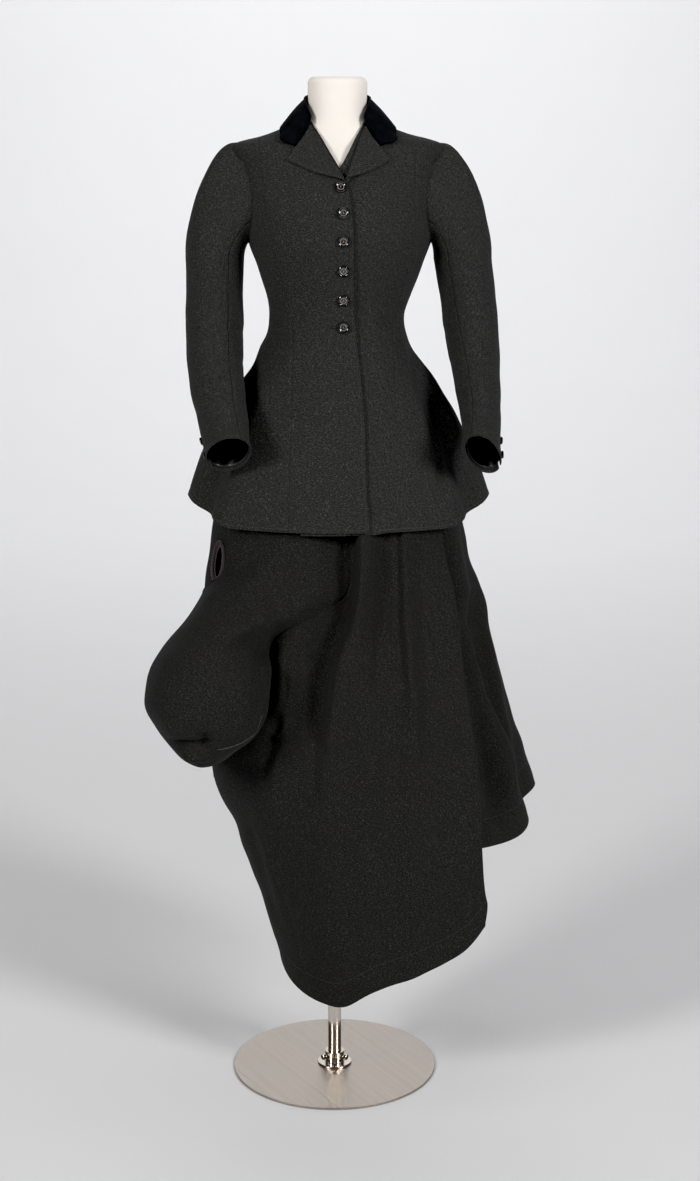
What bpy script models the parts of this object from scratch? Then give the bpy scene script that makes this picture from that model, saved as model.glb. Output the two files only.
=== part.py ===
"""Sidesaddle riding habit on a limbless dress form, with its pole stand.

Metres, +Z up. The front of the habit faces -Y, so the wearer's right side is at -X.
The origin is on the pole's axis, at the underside of the base disc.
"""

import math

import bmesh
import bpy
import numpy as np
from mathutils import Vector

for stray in list(bpy.data.objects):
    bpy.data.objects.remove(stray, do_unlink=True)

# Driving sizes, in metres
JACKET_WALL = 0.0018
SKIRT_WALL = 0.0016
LAPEL_WALL = 0.0022
COLLAR_WALL = 0.0024
STAND_WALL = 0.0016
SEAM_GAP = 0.0007
LAY_GAP = 0.0004
SLEEVE_GAP = 0.0012
LAPEL_GAP = 0.0010
UNDER_GAP = 0.0011
BUTTON_RADIUS = 0.009
BUTTON_HEIGHT = 0.0042
BUTTON_EASE = 0.0002
CUFF_BUTTON_RADIUS = 0.0062
CUFF_BUTTON_HEIGHT = 0.0036
BASE_RADIUS = 0.173
BASE_THICKNESS = 0.004
POLE_RADIUS = 0.0112
FLANGE_RADIUS = 0.0290
FLANGE_THICKNESS = 0.003
SOCKET_RADIUS = 0.0165
SOCKET_HEIGHT = 0.022
FORM_BOTTOM = 1.0
NECK_TOP = 1.660
FRONT_LINE = 0.0155
UNDERLAP = 0.036


def columns(names, *rows):
    """A short table as arrays that are read by column name."""
    return dict(zip(names.split(), np.array(rows, float).T, strict=True))


def read(table, name, at):
    """One column at a height, on cubic curves through the rows of the table."""
    knots = table["z"]
    values = table[name]
    if knots[0] > knots[-1]:
        knots = knots[::-1]
        values = values[::-1]
    steps = np.diff(knots)
    rises = np.diff(values) / steps
    slopes = np.concatenate(([rises[0]], (rises[:-1] + rises[1:]) / 2.0, [rises[-1]]))
    at = np.clip(np.asarray(at, float), knots[0], knots[-1])
    i = np.clip(np.searchsorted(knots, at) - 1, 0, len(steps) - 1)
    t = (at - knots[i]) / steps[i]
    start = values[i] * (1 + 2 * t) * (1 - t) ** 2 + slopes[i] * steps[i] * t * (1 - t) ** 2
    end = values[i + 1] * t * t * (3 - 2 * t) + slopes[i + 1] * steps[i] * t * t * (t - 1)
    return start + end


def ease(low, high, at):
    """0 before low, 1 after high, smooth between."""
    t = np.clip((np.asarray(at, float) - low) / (high - low), 0.0, 1.0)
    return t * t * (3 - 2 * t)


def bump(at, centre, width):
    """A soft ridge of height 1."""
    return np.exp(-(((np.asarray(at, float) - centre) / width) ** 2))


# The jacket's outer face in level sections: centre, half width, front and back depth
BODY = columns(
    "z middle half front back",
    (1.597, 0.0070, 0.0600, 0.0440, 0.0520),
    (1.584, 0.0075, 0.0830, 0.0480, 0.0560),
    (1.570, 0.0080, 0.1200, 0.0560, 0.0620),
    (1.559, 0.0090, 0.1600, 0.0660, 0.0700),
    (1.530, 0.0095, 0.1570, 0.0880, 0.0860),
    (1.490, 0.0100, 0.1520, 0.1100, 0.0970),
    (1.450, 0.0100, 0.1480, 0.1240, 0.1000),
    (1.415, 0.0105, 0.1450, 0.1260, 0.0980),
    (1.366, 0.0100, 0.1290, 0.1150, 0.0910),
    (1.323, 0.0085, 0.1140, 0.1010, 0.0830),
    (1.290, 0.0055, 0.1070, 0.0950, 0.0800),
    (1.261, 0.0055, 0.1110, 0.0970, 0.0840),
    (1.225, 0.0070, 0.1310, 0.1040, 0.0970),
    (1.190, 0.0075, 0.1540, 0.1110, 0.1130),
    (1.100, 0.0070, 0.2010, 0.1300, 0.1560),
    (1.036, 0.0070, 0.2270, 0.1420, 0.1880),
    (0.966, 0.0080, 0.2460, 0.1520, 0.2150),
)
# Flutes of the skirts of the jacket: angle from the front in degrees, depth at the hem, width
JACKET_FLUTES = (
    (50.0, 0.004, 9.0),
    (66.0, -0.020, 9.0),
    (93.0, 0.007, 14.0),
    (122.0, -0.010, 12.0),
    (150.0, 0.010, 12.0),
    (172.0, -0.006, 9.0),
)
# The skirt's outer face in level sections: left and right ends, front and back depth
SKIRT = columns(
    "z left right front back",
    (1.285, -0.0960, 0.1070, 0.0885, 0.0740),
    (1.262, -0.0970, 0.1080, 0.0890, 0.0760),
    (1.230, -0.1080, 0.1200, 0.0920, 0.0840),
    (1.190, -0.1300, 0.1420, 0.0960, 0.0960),
    (1.100, -0.1680, 0.1810, 0.1120, 0.1230),
    (1.000, -0.1900, 0.2030, 0.1310, 0.1460),
    (0.940, -0.1990, 0.2130, 0.1420, 0.1590),
    (0.860, -0.2100, 0.2300, 0.1560, 0.1730),
    (0.770, -0.2120, 0.2520, 0.1680, 0.1880),
    (0.700, -0.2110, 0.2690, 0.1760, 0.2000),
    (0.620, -0.2060, 0.2910, 0.1830, 0.2120),
    (0.540, -0.2020, 0.3160, 0.1860, 0.2220),
    (0.500, -0.1920, 0.3290, 0.1870, 0.2270),
    (0.460, -0.1715, 0.3400, 0.1870, 0.2320),
    (0.390, -0.1480, 0.3440, 0.1850, 0.2380),
    (0.320, -0.1240, 0.3470, 0.1800, 0.2400),
    (0.250, -0.1040, 0.3420, 0.1730, 0.2360),
    (0.160, -0.0820, 0.3300, 0.1620, 0.2300),
)
# Folds that hang down the front of the skirt: x at heights 0.96, 0.80, 0.70 and 0.55
FRONT_FOLDS = (
    (0.032, 0.018, -0.014, -0.030, 0.0095, 0.017),
    (-0.006, -0.025, -0.052, -0.066, -0.0060, 0.022),
    (0.076, 0.085, 0.092, 0.100, -0.0075, 0.017),
    (0.113, 0.117, 0.120, 0.124, 0.0070, 0.016),
    (0.040, 0.040, 0.046, 0.052, 0.0040, 0.014),
)
FOLD_HEIGHTS = (0.55, 0.70, 0.80, 0.96)
# Folds of the skirt's back part: angle in degrees, depth at the hem, width
BACK_FLUTES = (
    (66.0, 0.006, 10.0),
    (84.0, -0.016, 9.0),
    (104.0, 0.012, 11.0),
    (128.0, -0.012, 12.0),
    (150.0, 0.010, 12.0),
    (175.0, -0.014, 12.0),
    (202.0, 0.010, 13.0),
    (228.0, -0.010, 12.0),
)
# The front line of the skirt's overlap, as x by height
OVERLAP = columns(
    "z x",
    (1.285, 0.078),
    (1.190, 0.112),
    (1.100, 0.140),
    (0.970, 0.166),
    (0.857, 0.187),
    (0.750, 0.200),
    (0.680, 0.211),
    (0.600, 0.222),
    (0.530, 0.231),
    (0.440, 0.237),
    (0.360, 0.246),
    (0.320, 0.251),
    (0.250, 0.245),
    (0.180, 0.235),
)
# The line where the knee piece meets the front of the skirt, as x by height
KNEE_SEAM = columns(
    "z x",
    (1.285, 0.026),
    (1.100, 0.026),
    (0.960, 0.024),
    (0.900, 0.025),
    (0.875, 0.023),
    (0.858, 0.014),
    (0.845, -0.006),
    (0.832, -0.034),
    (0.818, -0.066),
    (0.804, -0.088),
    (0.785, -0.098),
    (0.750, -0.105),
    (0.710, -0.109),
    (0.672, -0.116),
    (0.645, -0.134),
    (0.625, -0.156),
    (0.604, -0.174),
    (0.590, -0.184),
)
# The knee pouch in level sections: leftmost x, its front depth and the depth of its widest place
POUCH = columns(
    "z left front wide",
    (0.940, -0.176, 0.150, 0.110),
    (0.900, -0.190, 0.158, 0.110),
    (0.870, -0.199, 0.172, 0.112),
    (0.843, -0.213, 0.192, 0.116),
    (0.800, -0.252, 0.224, 0.120),
    (0.771, -0.277, 0.242, 0.122),
    (0.747, -0.292, 0.254, 0.124),
    (0.717, -0.301, 0.262, 0.126),
    (0.685, -0.300, 0.260, 0.126),
    (0.650, -0.280, 0.248, 0.124),
    (0.620, -0.254, 0.228, 0.122),
    (0.604, -0.232, 0.208, 0.121),
    (0.590, -0.208, 0.180, 0.118),
)
# The form in level sections, from the neck's rounded top to its flat bottom
FORM = columns(
    "z half front back",
    (1.640, 0.0462, 0.0412, 0.0450),
    (1.606, 0.0465, 0.0410, 0.0450),
    (1.590, 0.0540, 0.0405, 0.0475),
    (1.578, 0.0810, 0.0450, 0.0524),
    (1.566, 0.1135, 0.0505, 0.0588),
    (1.554, 0.1515, 0.0592, 0.0652),
    (1.530, 0.1510, 0.0800, 0.0790),
    (1.490, 0.1470, 0.1030, 0.0900),
    (1.450, 0.1420, 0.1170, 0.0930),
    (1.415, 0.1370, 0.1180, 0.0900),
    (1.366, 0.1210, 0.1070, 0.0840),
    (1.323, 0.1040, 0.0920, 0.0750),
    (1.290, 0.0990, 0.0863, 0.0718),
    (1.261, 0.0993, 0.0864, 0.0728),
    (1.190, 0.1200, 0.0900, 0.0860),
    (1.100, 0.1560, 0.1000, 0.1080),
    (1.040, 0.1600, 0.1020, 0.1120),
)
# Sleeves as rings down a bent arm: outward, depth, height, radii across and along the arm's turn,
# the slope of the arm in degrees forward of straight down, and how far its low side turns outward
RIGHT_ARM = columns(
    "z outward depth across along slope twist",
    (1.380, 0.1875, 0.0040, 0.0465, 0.0590, 0.0, 0.000),
    (1.335, 0.1885, 0.0100, 0.0455, 0.0610, 0.0, 0.000),
    (1.290, 0.1885, 0.0080, 0.0460, 0.0620, 10.0, 0.000),
    (1.250, 0.1890, -0.0100, 0.0455, 0.0580, 27.0, 0.001),
    (1.210, 0.1860, -0.0420, 0.0440, 0.0520, 40.0, 0.002),
    (1.170, 0.1795, -0.0800, 0.0415, 0.0480, 45.0, 0.003),
    (1.130, 0.1700, -0.1190, 0.0380, 0.0450, 45.0, 0.004),
    (1.092, 0.1615, -0.1500, 0.0340, 0.0470, 43.0, 0.008),
)
LEFT_ARM = columns(
    "z outward depth across along slope twist",
    (1.380, 0.2045, 0.0040, 0.0465, 0.0590, 0.0, 0.000),
    (1.335, 0.2115, 0.0100, 0.0450, 0.0610, 0.0, 0.000),
    (1.290, 0.2175, 0.0080, 0.0440, 0.0620, 10.0, 0.000),
    (1.250, 0.2210, -0.0100, 0.0420, 0.0580, 27.0, 0.001),
    (1.210, 0.2250, -0.0420, 0.0380, 0.0520, 40.0, 0.002),
    (1.170, 0.2285, -0.0800, 0.0340, 0.0480, 45.0, 0.003),
    (1.130, 0.2300, -0.1190, 0.0300, 0.0450, 45.0, 0.004),
    (1.092, 0.2310, -0.1500, 0.0265, 0.0520, 43.0, 0.013),
)
HEM_LEVEL = 0.968
ARM_TOP = 1.380
ARM_END = 1.092
ARMHOLE_TOP = 1.559
ARMHOLE_BOTTOM = 1.408
ARMHOLE_FRONT = 26.0
ARMHOLE_BACK = 30.0
# The sleeve's first edge lies over the armhole's edge, by this many degrees and this high
SLEEVE_OVER = 1.2
SLEEVE_LIFT = 0.0016
SHOULDER_LIFT = 0.0019
# Gathers of the sleeve's head: how many, how deep and how far down they run
GATHERS = 6
GATHER_DEPTH = 0.0026
GATHER_REACH = 0.30


def material(name, colour, roughness, metallic=0.0):
    made = bpy.data.materials.new(name)
    made.use_nodes = True
    shader = made.node_tree.nodes["Principled BSDF"]
    shader.inputs["Base Color"].default_value = (*colour, 1.0)
    shader.inputs["Roughness"].default_value = roughness
    shader.inputs["Metallic"].default_value = metallic
    made.diffuse_color = (*colour, 1.0)
    return made


def collection(name):
    made = bpy.data.collections.new(name)
    bpy.context.scene.collection.children.link(made)
    return made


JACKET = collection("jacket")
SKIRTS = collection("skirt")
STAND = collection("stand")
CUTTERS = collection("cutters")

WOOL = (0.022, 0.023, 0.021)
SATIN = (0.010, 0.010, 0.012)
BLACK = (0.006, 0.006, 0.007)
BIND = (0.040, 0.018, 0.026)
CREAM = (0.86, 0.81, 0.74)
STEEL = (0.62, 0.60, 0.57)


def add(name, mesh, group, look):
    """One object in a group, with a material of its own."""
    made = bpy.data.objects.new(name, mesh)
    made.data.materials.append(material(name + "_look", *look))
    group.objects.link(made)
    return made


def cloth(name, points, wall, group, look):
    """A sewn piece: rows of points on its outer face, made a wall inwards."""
    rows, across, _ = points.shape
    faces = []
    for i in range(rows - 1):
        for j in range(across - 1):
            first = i * across + j
            faces.append((first, first + across, first + across + 1, first + 1))
    mesh = bpy.data.meshes.new(name)
    mesh.from_pydata(points.reshape(-1, 3).tolist(), [], faces)
    mesh.polygons.foreach_set("use_smooth", [True] * len(faces))
    made = add(name, mesh, group, look)
    shell = made.modifiers.new("wall", "SOLIDIFY")
    shell.thickness = wall
    shell.offset = -1.0
    return made


def turned(name, profile, steps, group, look, place=None, flip=False):
    """A solid of revolution about its own Z axis, from a closed profile of (radius, height)."""
    mesh = bpy.data.meshes.new(name)
    looped = profile[0] == profile[-1]
    points = [(r, 0.0, h) for r, h in (profile[:-1] if looped else profile)]
    edges = [(i, i + 1) for i in range(len(points) - 1)]
    if looped:
        edges.append((len(points) - 1, 0))
    mesh.from_pydata(points, edges, [])
    made = add(name, mesh, group, look)
    lathe = made.modifiers.new("lathe", "SCREW")
    lathe.steps = steps
    lathe.render_steps = steps
    lathe.use_merge_vertices = True
    lathe.merge_threshold = 0.00001
    lathe.use_normal_calculate = True
    lathe.use_normal_flip = flip
    if place is not None:
        made.matrix_world = place
    return made


def flutes(table, angle, grow):
    """The sum of the soft flutes at an angle in degrees, the same on both sides of a symmetric piece."""
    total = 0.0
    for centre, depth, width in table:
        total = total + depth * bump(angle, centre, width)
    return total * grow


def body_point(angle, z, lift=0.0):
    """A point of the jacket's outer face, by the angle in degrees from the front towards +X."""
    angle = np.asarray(angle, float)
    z = np.asarray(z, float)
    turn = np.radians(angle)
    away = np.abs((angle + 180.0) % 360.0 - 180.0)
    out = lift + flutes(JACKET_FLUTES, away, 1.0 - ease(1.02, 1.25, z))
    half = read(BODY, "half", z)
    depth = np.where(np.cos(turn) > 0.0, read(BODY, "front", z), read(BODY, "back", z))
    nx = np.sin(turn) / half
    ny = -np.cos(turn) / depth
    size = np.hypot(nx, ny)
    x = read(BODY, "middle", z) + half * np.sin(turn) + out * nx / size
    y = -depth * np.cos(turn) + out * ny / size
    return np.stack(np.broadcast_arrays(x, y, z), axis=-1)


def body_normal(angle, z):
    """The outward direction of the jacket's face."""
    here = body_point(angle, z)
    side = body_point(angle + 0.5, z) - here
    up = body_point(angle, z + 0.002) - here
    normal = np.cross(side, up)
    return normal / np.linalg.norm(normal)


def body_angle(x, z):
    """The angle in degrees of the jacket's front face at an x."""
    share = (np.asarray(x, float) - read(BODY, "middle", z)) / read(BODY, "half", z)
    return np.degrees(np.arcsin(np.clip(share, -1.0, 1.0)))


def jacket_hem(angle):
    """Height of the jacket's hem by angle."""
    away = np.abs((np.asarray(angle, float) + 180.0) % 360.0 - 180.0)
    rise = 0.010 * ease(42.0, 60.0, away) + 0.024 * ease(54.0, 84.0, away)
    return HEM_LEVEL + rise - 0.012 * ease(110.0, 170.0, away)


def skirt_fold(x, z):
    """How far the folds lift the front of the skirt."""
    total = 0.0
    grow = ease(1.16, 1.00, z) * 0.5 + ease(0.975, 0.92, z) * 0.5
    fade = 0.35 + 0.65 * ease(0.40, 0.72, z)
    for x96, x80, x70, x55, height, width in FRONT_FOLDS:
        line = np.interp(z, FOLD_HEIGHTS, (x55, x70, x80, x96))
        total = total + height * bump(x, line, width * (1.35 - 0.35 * ease(0.45, 0.85, z)))
    return total * grow * fade


def skirt_point(angle, z, lift=0.0, folds=0.0, fluted=0.0):
    """A point of the skirt's outer face, by the angle in degrees from the front towards +X."""
    angle = np.asarray(angle, float)
    z = np.asarray(z, float)
    turn = np.radians(angle)
    left = read(SKIRT, "left", z)
    right = read(SKIRT, "right", z)
    half = (right - left) / 2.0
    middle = (right + left) / 2.0
    depth = np.where(np.cos(turn) > 0.0, read(SKIRT, "front", z), read(SKIRT, "back", z))
    x0 = middle + half * np.sin(turn)
    wave = flutes(BACK_FLUTES, angle % 360.0, 1.0 - ease(0.45, 1.12, z))
    out = lift + folds * skirt_fold(x0, z) + fluted * wave
    nx = np.sin(turn) / half
    ny = -np.cos(turn) / depth
    size = np.hypot(nx, ny)
    x = x0 + out * nx / size
    y = -depth * np.cos(turn) + out * ny / size
    return np.stack(np.broadcast_arrays(x, y, z), axis=-1)


def skirt_angle(x, z):
    """The angle in degrees of the skirt's front at an x."""
    left = read(SKIRT, "left", z)
    right = read(SKIRT, "right", z)
    share = (np.asarray(x, float) - (left + right) / 2.0) / ((right - left) / 2.0)
    return np.degrees(np.arcsin(np.clip(share, -1.0, 1.0)))


def between(low, high, count):
    """Columns from one edge to the other, for edges given row by row."""
    share = np.linspace(0.0, 1.0, count)[None, :]
    return np.asarray(low, float)[:, None] * (1 - share) + np.asarray(high, float)[:, None] * share


def gap_angle(z, table=BODY):
    """Half a seam's gap as degrees at a height."""
    return np.degrees(SEAM_GAP / 2.0 / read(table, "front", z))


# Rows of the jacket from the neck to the hem, the last ones following the hem's height
ROWS = np.array(
    [1.597, 1.584, 1.570, 1.5655, 1.559, 1.542, 1.516, 1.4835, 1.450, 1.425, 1.408]
    + [1.375, 1.340, 1.315, 1.290, 1.262, 1.225, 1.175, 1.115, 1.055, 1.010, 0.968]
)
HEM_START = 1.055


def fall(rows, angle):
    """Heights of the rows at each angle, so that the last row lies on the hem."""
    level = np.broadcast_to(np.asarray(rows, float)[:, None], angle.shape)
    share = np.clip((HEM_START - level) / (HEM_START - HEM_LEVEL), 0.0, 1.0)
    return level + share * (jacket_hem(angle) - HEM_LEVEL)


SEAM_OFFSETS = ((0.966, 0.088), (1.09, 0.084), (1.19, 0.081), (1.28, 0.080), (1.36, 0.096))
SEAM_OFFSETS += ((1.454, 0.118), (1.516, 0.126), (1.57, 0.132))


def seam_offset(z):
    """Distance of the front seams from the line of buttons."""
    return np.interp(z, *zip(*SEAM_OFFSETS, strict=True))


def front_seam_x(z, side):
    """Where a front seam runs. Towards the shoulder it lies evenly about the body's middle."""
    return FRONT_LINE + side * seam_offset(z) - 0.0075 * (1 + side) * ease(1.38, 1.54, z)


def armhole(z, reach):
    """Half the armhole's opening in degrees at a height, none above and below it."""
    middle = (ARMHOLE_TOP + ARMHOLE_BOTTOM) / 2.0
    half = (ARMHOLE_TOP - ARMHOLE_BOTTOM) / 2.0
    share = 1.0 - ((np.asarray(z, float) - middle) / half) ** 2
    return reach * np.sqrt(np.clip(share, 0.0, 1.0))


def side_seam(z):
    """Angle of the seam between side front and side back."""
    return np.where(np.asarray(z) > ARMHOLE_BOTTOM, 90.0, 90.0 - 14.0 * (1.0 - ease(1.02, ARMHOLE_BOTTOM, z)))


def back_seam(z):
    """Angle of the seam between side back and back."""
    return np.interp(z, (0.966, 1.10, 1.28, 1.42, 1.50, 1.559), (136.0, 140.0, 152.0, 140.0, 130.0, 121.0))


# Edge of the right front and of the left front beneath it, and the roll lines above them
FRONT_EDGE = ((0.966, 0.056), (1.060, 0.050), (1.140, 0.048), (1.204, 0.042), (1.282, 0.034))
FRONT_EDGE += ((1.325, 0.032), (1.370, 0.031), (1.441, 0.030), (1.490, 0.024), (1.512, 0.016))
ROLL_RIGHT = ((1.527, 0.008), (1.560, -0.012), (1.597, -0.036))
ROLL_LEFT = ((1.512, 0.000), (1.527, 0.012), (1.560, 0.030), (1.597, 0.050))
edge_rows = np.array(FRONT_EDGE + ROLL_RIGHT)
under_rows = np.array([(z, x - UNDERLAP) for z, x in FRONT_EDGE[:-1]] + [(z, x) for z, x in ROLL_LEFT])


def button_line(rows):
    """Angles of the line of buttons, which keeps off the edge towards the lapels."""
    edge = body_angle(np.interp(rows, edge_rows[:, 0], edge_rows[:, 1]), rows)
    return np.minimum(body_angle(FRONT_LINE, rows), edge - 4.0)


def front_piece(name, side):
    """A front: from the front seam to the front edge. The left one runs under the right one."""
    rows = ROWS
    seam = body_angle(front_seam_x(rows, side), rows)
    seam = np.where(rows > 1.5705, side * 90.0, seam)
    seam[2] = side * 90.0
    seam = seam - side * gap_angle(rows)
    if side < 0:
        edge = body_angle(np.interp(rows, edge_rows[:, 0], edge_rows[:, 1]), rows)
        line = button_line(rows)
        angle = np.hstack((between(seam, line, 5)[:, :-1], between(line, edge, 3)))
        lift = np.zeros_like(angle)
    else:
        edge = body_angle(np.interp(rows, under_rows[:, 0], under_rows[:, 1]), rows)
        angle = between(edge, seam, 8)
        middle = read(BODY, "middle", rows)[:, None]
        x = middle + read(BODY, "half", rows)[:, None] * np.sin(np.radians(angle))
        over = np.interp(rows, edge_rows[:, 0], edge_rows[:, 1])[:, None]
        dip = 1.0 - ease(over + 0.010, over + 0.034, x)
        lift = -(JACKET_WALL + UNDER_GAP) * dip * ease(1.60, 1.52, rows)[:, None]
    z = fall(rows, angle)
    if side > 0:
        z = z - 0.004 * (lift < -0.0015) * ease(1.0, 0.968, rows)[:, None]
    cloth(name, body_point(angle, z, lift), JACKET_WALL, JACKET, (WOOL, 0.85))


def side_front(name, side):
    """From the front seam to the side seam, with the front half of the armhole."""
    rows = ROWS[2:].copy()
    rows[0] -= 0.0006
    seam = body_angle(front_seam_x(rows, side), rows)
    seam[0] = side * 86.0
    far = side * (side_seam(rows) - armhole(rows, ARMHOLE_FRONT))
    near = seam + side * gap_angle(rows)
    far = far - side * 1.6 * gap_angle(rows)
    far[0] = side * 89.6
    angle = between(near, far, 5) if side > 0 else between(far, near, 5)
    cloth(name, body_point(angle, fall(rows, angle)), JACKET_WALL, JACKET, (WOOL, 0.85))


# Angle of the corner where the back seam ends by the shoulder
SHOULDER_CORNER = 95.6


def side_back(name, side):
    """From the side seam to the back seam, with the back half of the armhole."""
    rows = np.concatenate(([1.5640], ROWS[4:]))
    near = side * (side_seam(rows) + armhole(rows, ARMHOLE_BACK) + 1.6 * gap_angle(rows))
    far = side * (back_seam(rows) - gap_angle(rows))
    far[0] = near[0] + side * 0.7
    far[1:3] -= side * np.array((back_seam(rows[1]) - SHOULDER_CORNER + 2.7, 1.4))
    angle = between(near, far, 5) if side > 0 else between(far, near, 5)
    cloth(name, body_point(angle, fall(rows, angle)), JACKET_WALL, JACKET, (WOOL, 0.85))


def back_piece(name, side):
    """From the back seam to the middle of the back, and up to the shoulder."""
    rows = ROWS
    near = np.where(rows > 1.560, 90.0, back_seam(rows))
    near = side * (near + gap_angle(rows))
    near[4] = side * (SHOULDER_CORNER + gap_angle(rows[4]))
    far = side * (180.0 - gap_angle(rows))
    angle = between(near, far, 6) if side > 0 else between(far, near, 6)
    cloth(name, body_point(angle, fall(rows, angle)), JACKET_WALL, JACKET, (WOOL, 0.85))


for side, hand in ((-1, "right"), (1, "left")):
    front_piece("jacket_front_" + hand, side)
    side_front("jacket_side_front_" + hand, side)
    side_back("jacket_side_back_" + hand, side)
    back_piece("jacket_back_" + hand, side)


def arm_ring(arm, side, turn, z):
    """Points round a sleeve at a height of its middle line; turn 0 is outward and 90 is forward."""
    angle = np.radians(turn)
    slope = np.radians(read(arm, "slope", z))
    across = read(arm, "across", z)
    along = read(arm, "along", z)
    x = read(arm, "outward", z) + across * np.cos(angle) - read(arm, "twist", z) * np.sin(angle)
    reach = along * np.sin(angle)
    y = read(arm, "depth", z) - reach * np.cos(slope)
    height = z + reach * np.sin(slope)
    return np.stack(np.broadcast_arrays(side * x, y, height), axis=-1)


def sleeve_points(arm, side, turns, cap_rows, arm_rows):
    """Rows of a sleeve from the armhole to the mouth for turns given row by row."""
    middle = (ARMHOLE_TOP + ARMHOLE_BOTTOM) / 2.0
    half = (ARMHOLE_TOP - ARMHOLE_BOTTOM) / 2.0
    grid = []
    for k, share in enumerate(cap_rows):
        turn = turns[k]
        rise = np.radians(turn)
        z0 = middle + half * np.cos(rise)
        fore = np.sin(rise) > 0
        ahead = -armhole(z0, ARMHOLE_FRONT) - SLEEVE_OVER
        behind = armhole(z0, ARMHOLE_BACK) + SLEEVE_OVER
        open_at = np.where(fore, ahead, behind)
        start = body_point(side * (90.0 + open_at), z0, SLEEVE_LIFT + SHOULDER_LIFT * bump(z0, 1.528, 0.014))
        end = arm_ring(arm, side, turn, ARM_TOP)
        top = (1.0 + np.cos(rise)) / 2.0
        out = np.zeros_like(start)
        out[:, 0] = side * (0.020 + 0.100 * top)
        out[:, 2] = 0.030 * top**4
        down = np.zeros_like(start)
        down[:, 2] = -(0.030 + 0.185 * top)
        t = share
        point = start * (1 + 2 * t) * (1 - t) ** 2 + out * t * (1 - t) ** 2
        point = point + end * t * t * (3 - 2 * t) + down * t * t * (t - 1)
        swell = bump(t, 0.10, GATHER_REACH * 0.6) * top ** 1.5 * t * 8.0
        wave = np.cos(np.radians(turn) * GATHERS * 2.0)
        lift = np.zeros_like(start)
        lift[:, 2] = GATHER_DEPTH * np.clip(swell, 0.0, 1.0) * wave
        grid.append(point + lift)
    for k, z in enumerate(arm_rows):
        turn = turns[len(cap_rows) + k]
        grid.append(arm_ring(arm, side, turn, z))
    return np.array(grid)


CAP_ROWS = (0.0, 0.08, 0.18, 0.32, 0.50, 0.74)
ARM_ROWS = (1.380, 1.335, 1.295, 1.260, 1.228, 1.196, 1.164, 1.135, 1.112, 1.092)
VENT_START = 1.135


def sleeve(hand, side, arm):
    """Upper and under sleeve, parted at the back seam for the vent by the mouth."""
    count = len(CAP_ROWS) + len(ARM_ROWS)
    height = np.array([ARMHOLE_BOTTOM] * len(CAP_ROWS) + list(ARM_ROWS))
    back = -75.0 + 33.0 * (1.0 - ease(1.10, 1.30, height))
    front = 122.0 - 8.0 * (1.0 - ease(1.10, 1.30, height))
    seam = np.degrees(SLEEVE_GAP / 0.045) * (1.0 + 0.7 * (1.0 - ease(1.14, 1.24, height)))
    vent = 6.0 * (1.0 - ease(ARM_END, VENT_START, height)) * (height < VENT_START)
    upper = between(back + seam / 2 + vent, front - seam / 2, 15)
    under = between(front + seam / 2, back + 360.0 - seam / 2 - vent, 8)
    look = (WOOL, 0.85)
    for name, turns in (("upper_sleeve_", upper), ("under_sleeve_", under)):
        grid = sleeve_points(arm, side, turns, CAP_ROWS, ARM_ROWS)
        if side > 0:
            grid = grid[:, ::-1]
        cloth(name + hand, grid, JACKET_WALL, JACKET, look)


sleeve("right", -1, RIGHT_ARM)
sleeve("left", 1, LEFT_ARM)


def cuff_lining(hand, side, arm):
    """The band of satin that shows inside the lower half of a sleeve's mouth."""
    rows = (1.120, 1.107, 1.095)
    turns = between(np.full(3, 150.0), np.full(3, 270.0), 7)
    inner = dict(arm)
    inner["across"] = arm["across"] - JACKET_WALL - 0.0018
    inner["along"] = arm["along"] - JACKET_WALL - 0.0018
    grid = np.array([arm_ring(inner, side, turns[k], z) for k, z in enumerate(rows)])
    if side > 0:
        grid = grid[:, ::-1]
    cloth("cuff_lining_" + hand, grid, 0.001, JACKET, (SATIN, 0.35))


cuff_lining("right", -1, RIGHT_ARM)
cuff_lining("left", 1, LEFT_ARM)


def lapel(name, corners, side):
    """A lapel turned back on its front: its roll edge stands off, its outer edge lies on the cloth."""
    roll_top, outer_top, outer_low, roll_low = (np.array(c) for c in corners)
    down = np.linspace(0.0, 1.0, 6)[:, None, None]
    over = np.linspace(0.0, 1.0, 5)[None, :, None]
    roll = roll_top * (1 - down) + roll_low * down
    outer = outer_top * (1 - down) + outer_low * down
    flat = roll * (1 - over) + outer * over
    x = flat[..., 0]
    z = flat[..., 1]
    over = over[..., 0]
    out = LAPEL_WALL + LAPEL_GAP + 0.0032 * (1.0 - over) ** 2 + 0.0008 * np.sin(np.pi * over)
    grid = body_point(body_angle(x, z), z, out)
    if side < 0:
        grid = grid[:, ::-1]
    cloth(name, grid, LAPEL_WALL, JACKET, (WOOL, 0.85))


lapel("lapel_right", ((-0.034, 1.586), (-0.058, 1.551), (-0.066, 1.534), (0.016, 1.509)), -1)
lapel("lapel_left", ((0.049, 1.5845), (0.0765, 1.5475), (0.085, 1.536), (0.021, 1.511)), 1)


# The collar from the middle of the back (0) to its front end (1): its fold or seam above, relative to
# the neck's middle, and the place on the jacket where its outer edge lies, by angle and height
COLLAR = columns(
    "z x y top angle low",
    (0.00, 0.0000, 0.0525, 1.6390, 180.0, 1.5830),
    (0.30, 0.0390, 0.0380, 1.6345, 137.0, 1.5840),
    (0.55, 0.0500, 0.0040, 1.6275, 92.0, 1.5855),
    (0.72, 0.0455, -0.0260, 1.6150, 67.0, 1.5790),
    (0.86, 0.0430, -0.0400, 1.5960, 47.0, 1.5700),
    (1.00, 0.0655, -0.0640, 1.5560, 31.5, 1.5585),
)
COLLAR_EASE = 0.0012
NECK_MIDDLE = 0.0070
# The top of the stand lies under the fold: its depth as a share of the fold's, and how far below it
STAND_TUCK = 0.955
STAND_DROP = 0.0065


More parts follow.
